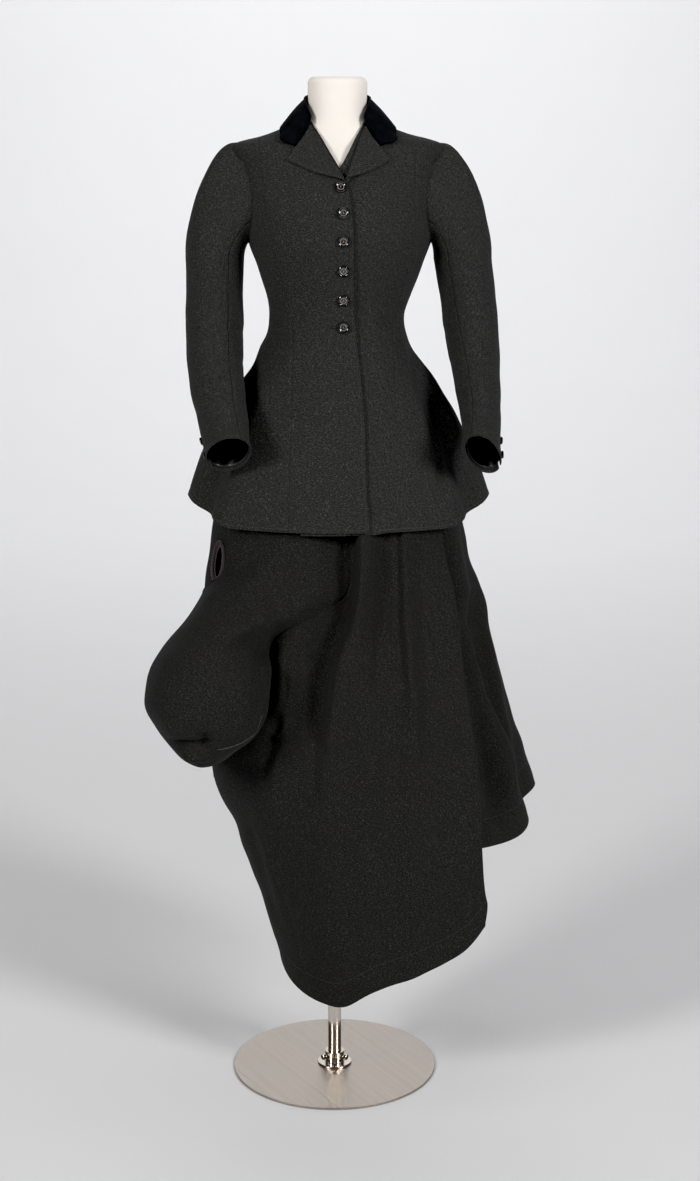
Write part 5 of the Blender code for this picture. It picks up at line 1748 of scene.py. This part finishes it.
# %% folds of the long front
SEAM_PLEATS = (
    (((0.030, 1.060), (0.030, 0.959), (0.030, 0.892), (0.024, 0.856), (0.012, 0.813), (-0.005, 0.768),
      (-0.012, 0.729), (-0.019, 0.673), (-0.028, 0.600)), -0.0290, 0.046, 0.0060),
    (((0.044, 1.060), (0.044, 0.959), (0.044, 0.892), (0.038, 0.856), (0.026, 0.813), (0.009, 0.768),
      (0.002, 0.729), (-0.005, 0.673), (-0.014, 0.600)), 0.0070, 0.0085, 0.024),
    (((-0.100, 0.815), (-0.102, 0.785), (-0.105, 0.745), (-0.108, 0.700), (-0.113, 0.640)),
     -0.0120, 0.012, 0.014),
)
FRONT_CREASES = (
    (((0.076, 1.060), (0.078, 0.955), (0.080, 0.859), (0.072, 0.782), (0.066, 0.690)), -0.0065, 0.010),
    (((0.096, 1.060), (0.099, 0.955), (0.102, 0.860), (0.107, 0.766), (0.110, 0.680)), -0.0040, 0.006),
    (((0.110, 1.060), (0.110, 0.955), (0.112, 0.860), (0.118, 0.783), (0.127, 0.700), (0.132, 0.580)),
     0.0050, 0.008),
    (((0.145, 0.940), (0.152, 0.850), (0.160, 0.740), (0.164, 0.640)), 0.0020, 0.014),
    (((-0.071, 0.800), (-0.074, 0.745), (-0.078, 0.694)), -0.0030, 0.006),
    (((-0.052, 0.815), (-0.056, 0.720), (-0.060, 0.620)), -0.0030, 0.007),
    (((-0.070, 0.705), (-0.084, 0.630), (-0.104, 0.547)), 0.0030, 0.007),
    (((-0.089, 0.690), (-0.100, 0.620), (-0.120, 0.550)), -0.0042, 0.009),
    (((-0.028, 0.640), (-0.032, 0.592), (-0.030, 0.530)), -0.0034, 0.007),
    (((-0.047, 0.767), (-0.030, 0.759), (-0.012, 0.750)), -0.0028, 0.0030),
    (((0.060, 0.640), (0.052, 0.560), (0.040, 0.470)), 0.0032, 0.016),
    (((0.085, 0.600), (0.078, 0.500), (0.070, 0.400)), -0.0030, 0.018),
    (((-0.020, 0.520), (-0.010, 0.430), (0.005, 0.340)), 0.0024, 0.018),
    (((-0.090, 0.480), (-0.070, 0.400), (-0.050, 0.320)), -0.0026, 0.016),
    (((0.170, 0.560), (0.172, 0.470), (0.178, 0.380)), 0.0014, 0.016),
    (((-0.150, 0.520), (-0.130, 0.430), (-0.105, 0.330), (-0.085, 0.260)), -0.0028, 0.009),
    (((-0.128, 0.500), (-0.110, 0.420), (-0.085, 0.320)), 0.0020, 0.009),
)

# %% deep hem
HEM_DEPTH = 0.046
HEM_GROOVE = 0.0006
HEM_STITCH = 0.0022
SKIRT_DRIFT = 0.0006
FRONT_RUNS = (
    (1.285, 0.98, 24), (0.98, 0.80, 46), (0.80, 0.60, 50),
    (0.60, 0.57, 12), (0.57, HEM_SPREAD, 30), (HEM_SPREAD, HEM_ROW, 30),
)


def hemmed(points):
    """A deep hem: a groove at its depth, a bell curve of the distance to the edge, with its stitches."""
    deep = from_edge(points, "bottom")
    points = raised(points, -HEM_GROOVE * bump(deep, HEM_DEPTH, 0.0016))
    topstitch(skirt_seams, points, "bottom", HEM_DEPTH, HEM_STITCH)
    return points


# %% long front
def long_front():
    """Angles from the knee seam to the free edge; the last rows spread to the slanted hem."""
    rows = runs(*FRONT_RUNS)
    share = shares(168)
    seam = skirt_angle(read(KNEE_SEAM, "x", np.clip(rows, 0.590, 1.285)), rows) + gap_angle(rows, SKIRT)
    wrap = LEFT_EDGE + (WRAP_EDGE - LEFT_EDGE) * ease(0.515, 0.465, rows)
    under = ease(0.650, 0.584, rows)
    left = seam * (1.0 - under) + wrap * under
    right = skirt_angle(read(OVERLAP, "x", rows), rows)
    angle = between(left, right, share)
    drop = np.clip((HEM_SPREAD - rows) / (HEM_SPREAD - HEM_ROW), 0.0, 1.0)[:, None]
    z = rows[:, None] + drop * (read(FRONT_HEM, "rise", share)[None, :] - HEM_ROW)
    over = right[:, None] - angle
    lift = FRONT_LAYER * ease(42.0, 22.0, over) * ease(1.22, 1.12, rows)[:, None]
    lift = lift + EDGE_FLARE * ease(16.0, 0.0, over) * ease(0.96, 0.80, rows)[:, None]
    points = creases(pleated(skirt(angle, z, lift, 1.0), SEAM_PLEATS), FRONT_CREASES)
    points = drift(points, SKIRT_DRIFT)
    points = hemmed(edged(points, left="sewn", right="turned", bottom="turned"))
    cloth("apron_front", points, *SKIRT_CLOTH, "skirt_front")


long_front()

# %% [markdown]
# ## The knee piece
# Over the wearer's right knee the skirt is cut into a hollow bag that keeps its shape without a leg in
# it. Each level section is a loft of three bends, and below the widest place the rows close back under
# it. A light cord on its lower seam paints the highlight of the seam's ridge, and a tuck pulls a dark hollow
# into its underside.

# %% the bag's table
POUCH = columns(
    "z left front wide",
    (0.940, -0.176, 0.150, 0.110),
    (0.900, -0.190, 0.158, 0.110),
    (0.870, -0.199, 0.172, 0.112),
    (0.843, -0.213, 0.192, 0.116),
    (0.800, -0.252, 0.224, 0.120),
    (0.771, -0.277, 0.242, 0.122),
    (0.747, -0.292, 0.254, 0.124),
    (0.717, -0.301, 0.262, 0.126),
    (0.685, -0.300, 0.260, 0.126),
    (0.650, -0.280, 0.248, 0.124),
    (0.620, -0.254, 0.228, 0.122),
    (0.604, -0.232, 0.208, 0.121),
    (0.590, -0.208, 0.180, 0.118),
)
KNEE_LAYER = 0.0028
KNEE_EDGE = columns(
    "z angle", (0.843, -86.0), (0.858, -76.0), (0.870, -68.0), (0.883, -61.0), (0.905, -57.0)
)
BRIM_BEND = 0.3
FRONT_BEND = 0.46
SIDE_BEND = 0.76
CURL = (0.0, 0.28, 0.62, 1.0)

# %% creases of the bag
KNEE_CREASES = (
    (((-0.060, 0.955), (-0.103, 0.915), (-0.150, 0.870), (-0.200, 0.815)), 0.0030, 0.016),
    (((-0.040, 0.960), (-0.060, 0.900), (-0.085, 0.850), (-0.105, 0.810)), -0.0060, 0.014),
    (((-0.100, 0.950), (-0.140, 0.905), (-0.170, 0.880)), -0.0016, 0.010),
    (((-0.120, 0.860), (-0.160, 0.800), (-0.200, 0.740)), 0.0018, 0.018),
    (((-0.112, 0.800), (-0.118, 0.750), (-0.122, 0.700)), -0.0030, 0.008),
    (((-0.260, 0.647), (-0.236, 0.651), (-0.212, 0.651), (-0.186, 0.646)), -0.0180, 0.0100),
    (((-0.206, 0.678), (-0.199, 0.666), (-0.190, 0.650)), -0.0110, 0.0090),
    (((-0.240, 0.633), (-0.222, 0.631), (-0.188, 0.630)), 0.0070, 0.008),
    (((-0.182, 0.642), (-0.160, 0.647), (-0.140, 0.653), (-0.122, 0.665), (-0.112, 0.690)), 0.0022, 0.0022),
    (((-0.180, 0.634), (-0.158, 0.639), (-0.136, 0.645), (-0.116, 0.658)), -0.0030, 0.0036),
    (((-0.235, 0.700), (-0.225, 0.675), (-0.205, 0.664)), -0.0026, 0.008),
    (((-0.170, 0.720), (-0.185, 0.690), (-0.192, 0.670)), -0.0022, 0.008),
    (((-0.280, 0.720), (-0.262, 0.690), (-0.248, 0.665)), 0.0016, 0.009),
)


# %% the bag's sections
def bag_rows(z, share, start, end):
    """Level sections of the bag: a bend off the seam, a quarter ellipse to the side, one to the back."""
    left = read(POUCH, "left", z)
    front = -read(POUCH, "front", z)
    wide = -read(POUCH, "wide", z)
    step = ease(0.815, 0.755, z)
    hang = 0.008 * ease(0.79, 0.73, z)
    sx, sy, ex, ey = start[:, :1], start[:, 1:2], end[:, :1], end[:, 1:2]
    peak = sx * 0.42 + left * 0.58
    u = np.clip(share / FRONT_BEND, 0.0, 1.0)
    soft_x = sx + (peak - sx) * u
    soft_y = sy + (front - sy) * ease(0.0, 1.0, u)
    brim = sy + (front - sy) * 0.35
    near = np.clip(u / BRIM_BEND, 0.0, 1.0) * math.pi / 2.0
    far = np.clip((u - BRIM_BEND) / (1.0 - BRIM_BEND), 0.0, 1.0) * math.pi / 2.0
    first = u < BRIM_BEND
    full_x = np.where(first, sx + hang * np.sin(near), peak + (sx + hang - peak) * np.cos(far))
    full_y = np.where(first, brim + (sy - brim) * np.cos(near), brim + (front - brim) * np.sin(far))
    side = np.clip((share - FRONT_BEND) / (SIDE_BEND - FRONT_BEND), 0.0, 1.0) * math.pi / 2.0
    back = np.clip((share - SIDE_BEND) / (1.0 - SIDE_BEND), 0.0, 1.0) * math.pi / 2.0
    ahead = share < FRONT_BEND
    x = np.where(ahead, soft_x * (1 - step) + full_x * step, peak + (left - peak) * np.sin(side))
    y = np.where(ahead, soft_y * (1 - step) + full_y * step, wide + (front - wide) * np.cos(side))
    x = np.where(share > SIDE_BEND, ex + (left - ex) * np.cos(back), x)
    y = np.where(share > SIDE_BEND, wide + (ey - wide) * np.sin(back), y)
    return stacked(x, y, z)


def smoothed(points, times):
    """Each inner point moves towards the mean of its four neighbours, a few times over."""
    for _ in range(times):
        mean = (points[:-2, 1:-1] + points[2:, 1:-1] + points[1:-1, :-2] + points[1:-1, 2:]) / 4.0
        points = points.copy()
        points[1:-1, 1:-1] = points[1:-1, 1:-1] * 0.5 + mean * 0.5
    return points


# %% knee piece
def knee_piece():
    """Skirt sections above, bag sections below, and rows that close back under the bag."""
    share = (0.72 * np.linspace(0.0, 1.0, 120) + 0.28 * shares(120))[None, :]
    high = runs((1.285, 0.98, 22), (0.98, 0.604, 118))
    low = np.linspace(0.0, 1.0, 22)[1:]
    z = np.concatenate((high, np.interp(low, CURL, (0.604, 0.592, 0.586, 0.587))))
    closed = np.concatenate((np.zeros(len(high)), np.interp(low, CURL, (0.0, 0.30, 0.66, 1.0))))
    seam = skirt_angle(read(KNEE_SEAM, "x", z), z) - gap_angle(z, SKIRT)
    far = read(KNEE_EDGE, "angle", z)
    angle = seam[:, None] * (1 - share) + far[:, None] * share
    lay = KNEE_LAYER * ease(1.14, 1.04, z)[:, None] * ease(0.30, 0.70, share)
    rings = skirt(angle, z[:, None], lay, 1.0)
    shaped = ((1.0 - ease(0.835, 0.935, z)) * (1.0 - closed))[:, None, None]
    level = np.maximum(z, 0.590)[:, None]
    bag = bag_rows(level, share, rings[:, 0], rings[:, -1])
    bag[..., 2] = z[:, None]
    points = (rings * (1.0 - shaped) + bag * shaped)[:, ::-1]
    points = creases(pleated(smoothed(points, 6), SEAM_PLEATS), KNEE_CREASES)
    points = edged(smoothed(drift(points, SKIRT_DRIFT), 1), right="sewn", left="turned")
    cloth("knee_bag", points, *SKIRT_CLOTH, "skirt_knee_piece")
    return points


# %% the seam on the bag
def on_grid(points, line, count):
    """A line given by x and z laid on the nearest points of a grid that look forward, with normals."""
    t = np.linspace(0.0, len(line) - 1.0, count)
    x, z = (np.interp(t, np.arange(len(line)), column)[:, None] for column in zip(*line, strict=True))
    normal = outward(points)
    ahead = normal[..., 1] < -0.15
    both = np.hstack((points[ahead], normal[ahead]))
    near = np.argsort(np.hypot(both[:, 0] - x, both[:, 2] - z), axis=1)[:, :4]
    found = both[near].mean(1)
    for _ in range(6):
        found[1:-1] = (found[:-2] + found[2:] + 2.0 * found[1:-1]) / 4.0
    return found[:, :3], found[:, 3:]


BAG_SEAM = ((-0.180, 0.6445), (-0.160, 0.6475), (-0.143, 0.652), (-0.122, 0.664), (-0.112, 0.690))
bag_line = on_grid(knee_piece(), BAG_SEAM, 40)
# Overlapping light strands along the bag's seam paint the highlight of its ridge.
bag_highlight_strands = row_of_stitches(bag_line, 0.0060, -0.0012, 0.0004)
sew_all("bag_seam_edge", [bag_highlight_strands], SEAM_HIGHLIGHT, "skirt_wool", 0.00060)

# %% [markdown]
# ## Back and side of the skirt
# Behind, the skirt hangs in flutes to a level hem well above the floor. A side piece under the right
# hip has a slit. It is opened by a Boolean with a flattened ball, and its result is kept as a plain
# mesh, because a finished piece needs no cutter beside it.

# %% lines of the back
SKIRT_SEAM = 250.0
BACK_HEM_START = 0.78
BACK_ROW_LOW = 0.42
BACK_HEM = columns(
    "angle rise",
    (30.0, 0.449),
    (58.0, 0.453),
    (78.0, 0.477),
    (92.0, 0.493),
    (105.0, 0.494),
    (180.0, 0.460),
    (225.0, 0.485),
    (262.0, 0.525),
)
SIDE_EDGE = columns(
    "z angle", (0.81, 273.5), (0.88, 302.0), (0.95, 307.0), (1.02, 304.6), (1.10, 301.6), (1.285, 301.8)
)
BACK_SKIRT_CREASES = (
    (((0.232, 0.940), (0.246, 0.784), (0.268, 0.676), (0.286, 0.578), (0.304, 0.465)), 0.0100, 0.008),
    (((0.174, 1.040), (0.181, 0.940), (0.197, 0.870), (0.216, 0.780)), -0.0200, 0.010),
    (((0.214, 0.850), (0.228, 0.750), (0.242, 0.680), (0.255, 0.600), (0.270, 0.460)), -0.0320, 0.017),
    (((0.214, 0.850), (0.222, 0.815), (0.228, 0.780)), -0.0070, 0.014),
    (((-0.060, 0.900), (-0.070, 0.760), (-0.080, 0.600)), 0.0020, 0.014),
    (((0.060, 0.900), (0.072, 0.760), (0.088, 0.600)), -0.0020, 0.014),
)
back_rows = runs((1.285, 0.98, 20), (0.98, BACK_HEM_START, 30), (BACK_HEM_START, BACK_ROW_LOW, 50))


# %% back pieces
def skirt_behind(angle, z, lift=0.0):
    """A point of the skirt's side or back, where it hangs in flutes."""
    return skirt(angle, z, lift, 0.0, 1.0)


def back_part(name, node, start, end, count, **edges):
    """A back piece between two edges by angle, whose lower rows spread to the hem."""
    angle = between(start, end, shares(count))
    z = np.broadcast_to(back_rows[:, None], angle.shape)
    share = np.clip((BACK_HEM_START - z) / (BACK_HEM_START - BACK_ROW_LOW), 0.0, 1.0)
    z = z + share * (read(BACK_HEM, "rise", angle % 360.0) - BACK_ROW_LOW)
    points = drift(creases(skirt_behind(angle, z), BACK_SKIRT_CREASES), SKIRT_DRIFT)
    points = hemmed(edged(points, bottom="turned", **edges))
    return cloth(name, points, *SKIRT_CLOTH, node)


gap = gap_angle(back_rows, SKIRT)
laid = ease(1.14, 1.06, back_rows)
under = skirt_angle(read(OVERLAP, "x", back_rows) - 0.030 * laid, back_rows) + 1.4 * (1.0 - laid)
back_part("left_skirt_back", "skirt_back_left", under, 180.0 - gap, 100, left="turned", right="sewn")
back_part(
    "right_skirt_back", "skirt_back_right", 180.0 + gap, SKIRT_SEAM - gap, 60, left="sewn", right="sewn"
)
side_end = read(SIDE_EDGE, "angle", back_rows)
side_piece = back_part(
    "side_gore", "skirt_side_right", SKIRT_SEAM + gap, side_end, 64, left="sewn", right="turned"
)

# %% slit
SLIT_ANGLE = 294.4
SLIT_LEVEL = 0.9035
SLIT_HALF = 0.0300
SLIT_OPEN = 5.4
CUTTER_DEPTH = 0.012
slit_middle = skirt_behind(SLIT_ANGLE, SLIT_LEVEL)
slit_beside = skirt_behind(SLIT_ANGLE + 1.0, SLIT_LEVEL) - slit_middle
DEGREE = float(np.linalg.norm(slit_beside))


def cut_slit():
    """Cuts the slit with a ball that is stretched to the slit's height, width and depth."""
    bpy.ops.mesh.primitive_uv_sphere_add(segments=32, ring_count=24, radius=1.0)
    cutter = bpy.context.object
    out = Vector((slit_beside[1], -slit_beside[0], 0.0))
    turn = out.to_track_quat("Z", "Y").to_matrix().to_4x4()
    turn.translation = Vector(slit_middle)
    cutter.matrix_world = turn
    cutter.scale = (SLIT_OPEN * DEGREE, SLIT_HALF, CUTTER_DEPTH)
    opening = side_piece.modifiers.new("slit", "BOOLEAN")
    opening.operation = "DIFFERENCE"
    opening.object = cutter
    bpy.context.view_layer.update()
    ready = side_piece.evaluated_get(bpy.context.evaluated_depsgraph_get())
    mesh = bpy.data.meshes.new_from_object(ready)
    side_piece.modifiers.clear()
    side_piece.data = mesh
    bpy.data.objects.remove(cutter, do_unlink=True)
    print("side_gore with its slit has", len(mesh.polygons), "faces")


cut_slit()


# %% [markdown]
# ## The slit's binding
# The slit's edge is bound with a plum cord, oversewn by small slanting stitches. A second strand runs
# inside it. The loop is a curve carried round the slit on the skirt's own surface.


# %% binding
def slit_loop(grow, lift, count):
    """Points and normals round the slit: an ellipse in angle and height on the skirt."""
    turn = np.arange(count + 1) * 2.0 * math.pi / count
    z = SLIT_LEVEL + (SLIT_HALF + grow) * np.cos(turn)
    angle = SLIT_ANGLE + (SLIT_OPEN + grow / DEGREE) * np.sin(turn)
    points = skirt_behind(angle, z, lift)
    return points, unit(skirt_behind(angle, z, lift + 0.01) - points)


def binding():
    """The outer cord, the inner strand, and stitches that slant over the cord."""
    path, normal = slit_loop(0.0012, 0.0010, 96)
    tube("slit_cord", path, normal, 0.0038, 0.0020, 12, BINDING, "slit_binding", "slit_binding")
    inner, across = slit_loop(-0.0042, -0.0012, 80)
    tube("slit_inner_cord", inner, across, 0.0020, 0.0014, 10, BINDING, "slit_binding")
    low, normal = (part[:-1] for part in slit_loop(-0.0026, 0.0020, 40))
    high = np.roll(slit_loop(0.0046, 0.0020, 40)[0][:-1], -1, 0)
    row = (low + normal * 0.0010, high + normal * 0.0012, normal)
    sew_all("slit_stitches", [row], BINDING, "slit_binding", 0.0006)


binding()
sew_all("jacket_topstitch", jacket_seams, WOOL_THREAD, "jacket_wool")
sew_all("skirt_topstitch", skirt_seams, WOOL_THREAD, "skirt_wool", 0.00028)

# %% [markdown]
# ## Form and stand
# The form is a covered body of smooth level rings, closed at the neck with a soft crown. Where the cloth
# hides it, it is drawn in by a millimetre so that it never shows through a seam. The stand is turned.

# %% form
FORM = columns(
    "z half front back",
    (1.640, 0.0462, 0.0390, 0.0450),
    (1.606, 0.0465, 0.0418, 0.0450),
    (1.590, 0.0540, 0.0442, 0.0475),
    (1.578, 0.0810, 0.0480, 0.0524),
    (1.566, 0.1135, 0.0535, 0.0588),
    (1.554, 0.1515, 0.0605, 0.0652),
    (1.530, 0.1510, 0.0800, 0.0790),
    (1.490, 0.1470, 0.1030, 0.0900),
    (1.450, 0.1420, 0.1170, 0.0930),
    (1.415, 0.1370, 0.1180, 0.0900),
    (1.366, 0.1210, 0.1070, 0.0840),
    (1.323, 0.1040, 0.0920, 0.0750),
    (1.290, 0.0990, 0.0863, 0.0718),
    (1.261, 0.0993, 0.0864, 0.0728),
    (1.190, 0.1200, 0.0900, 0.0860),
    (1.100, 0.1560, 0.1000, 0.1080),
    (1.040, 0.1600, 0.1020, 0.1120),
)
FORM_BOTTOM = 1.0
FORM_LOW = 1.045
NECK_TOP = 1.660
CROWN = 0.010
CROWN_BEND = 1.05
FOOT_SHRINK = 0.10
FORM_TIGHT = 0.0012
FORM_STEPS = 96


# %% rings of the form
def body_form():
    """Level rings through the table, shrinking to a point over the crown and under the flat foot."""
    crown = np.linspace(0.0, math.pi / 2.0, 12)[:0:-1]
    neck = NECK_TOP - CROWN
    body = runs((neck, 1.606, 16), (1.606, 1.554, 30), (1.554, FORM_LOW, 70))
    z = np.concatenate((neck + CROWN * np.sin(crown), body, [1.014, 1.002]))
    level = np.clip(z, FORM["z"][-1], FORM["z"][0])
    shrink = 1.0 - FOOT_SHRINK * (np.maximum(FORM_LOW - z, 0.0) / (FORM_LOW - FORM_BOTTOM)) ** 3
    inward = FORM_TIGHT * ease(1.60, 1.55, z)
    inward[: len(crown)] += CROWN * CROWN_BEND * (1.0 - np.cos(crown))
    turn = np.arange(FORM_STEPS + 1) * 2.0 * math.pi / FORM_STEPS
    half, front, back = (
        (read(FORM, name, level) * shrink - inward)[:, None] for name in ("half", "front", "back")
    )
    x = read(BODY, "middle", level)[:, None] + half * np.sin(turn)
    points = stacked(x, -np.where(np.cos(turn) > 0.0, front, back) * np.cos(turn), z[:, None])
    uv = stacked(lengths(points, 1), -lengths(points, 0))
    top = (float(read(BODY, "middle", level[0])), -0.001, NECK_TOP)
    foot = (float(read(BODY, "middle", level[-1])), 0.0, FORM_BOTTOM)
    points = np.concatenate(([top], points.reshape(-1, 3), [foot]))
    uv = np.concatenate(([(0.0, 0.01)], uv.reshape(-1, 2), [(0.0, -0.7)]))
    faces = polar_faces(len(z), FORM_STEPS + 1, closed=False)[:, ::-1]
    mesh = plain_mesh("covered_form", points, faces, uv)
    welded = add("covered_form", mesh, JERSEY, "form_cover", "dress_form")
    weld = welded.modifiers.new("back_seam", "WELD")
    weld.merge_threshold = 0.00005


body_form()

# %% stand
BASE_RADIUS = 0.173
BASE_THICKNESS = 0.004
BASE_EDGE = 0.0006
POLE_RADIUS = 0.0112
FLANGE_RADIUS = 0.0290
FLANGE_THICKNESS = 0.003
SOCKET_RADIUS = 0.0165
SOCKET_HEIGHT = 0.022
FLANGE_STEPS = 72
FLANGE_EDGE = 0.0005
FOOT = BASE_THICKNESS + LAY_GAP
POLE_TOP = FORM_BOTTOM - LAY_GAP
flat = BASE_RADIUS - BASE_EDGE
disc = [(0.0, 0.0), (flat, 0.0), (BASE_RADIUS, BASE_EDGE), (BASE_RADIUS, BASE_THICKNESS - BASE_EDGE)]
disc += [(flat, BASE_THICKNESS), (BASE_RADIUS - 0.010, BASE_THICKNESS), (0.0, BASE_THICKNESS)]
turned_piece("stand_plate", disc, 160, BRUSHED, "base_steel", "base_disc", sharp=30.0)
pole = [(POLE_RADIUS, z) for z in (FOOT, 0.35, 0.70, POLE_TOP)]
pole = [(0.0, FOOT)] + pole + [(0.0, POLE_TOP)]
turned_piece("stand_pole", pole, 64, POLISHED, "pole_steel", "pole")


# %% flange
def collar_ring():
    """The flange as a closed ring: a flat plate with a socket, its edges softened."""
    inner, outer, socket = POLE_RADIUS + LAY_GAP, FLANGE_RADIUS, SOCKET_RADIUS
    high, low = FOOT + SOCKET_HEIGHT, FOOT + FLANGE_THICKNESS
    soft = FLANGE_EDGE
    loop = [(inner, FOOT), (outer - soft, FOOT), (outer, FOOT + soft), (outer, low - soft)]
    loop += [(outer - soft, low), (socket + 2 * soft, low), (socket, low + 2 * soft)]
    loop += [(socket, high - soft), (socket - soft, high), (inner, high)]
    faces = closed_faces(len(loop), FLANGE_STEPS)
    mesh = plain_mesh("stand_flange", turned_rings(loop, FLANGE_STEPS), faces)
    mesh.set_sharp_from_angle(angle=math.radians(35.0))
    add("stand_flange", mesh, POLISHED, "pole_steel", "pole_flange")


collar_ring()

# %% thumbscrews
SCREWS = ((215.0, 0.0145), (325.0, 0.0145), (270.0, 0.0125))
screw = [(0.0, 0.0), (0.0022, 0.0), (0.0022, 0.004), (0.0044, 0.004), (0.0050, 0.0046), (0.0050, 0.0084)]
screw += [(0.0044, 0.009), (0.0, 0.009)]
for number, (turn, rise) in enumerate(SCREWS, 1):
    way = np.array([math.cos(math.radians(turn)), math.sin(math.radians(turn)), 0.0])
    place = way * (SOCKET_RADIUS + LAY_GAP) + UP * (FOOT + rise)
    node = "stand_screw_" + str(number)
    turned_piece("thumbscrew_" + str(number), screw, 32, POLISHED, "pole_steel", node, place, way, 30.0)
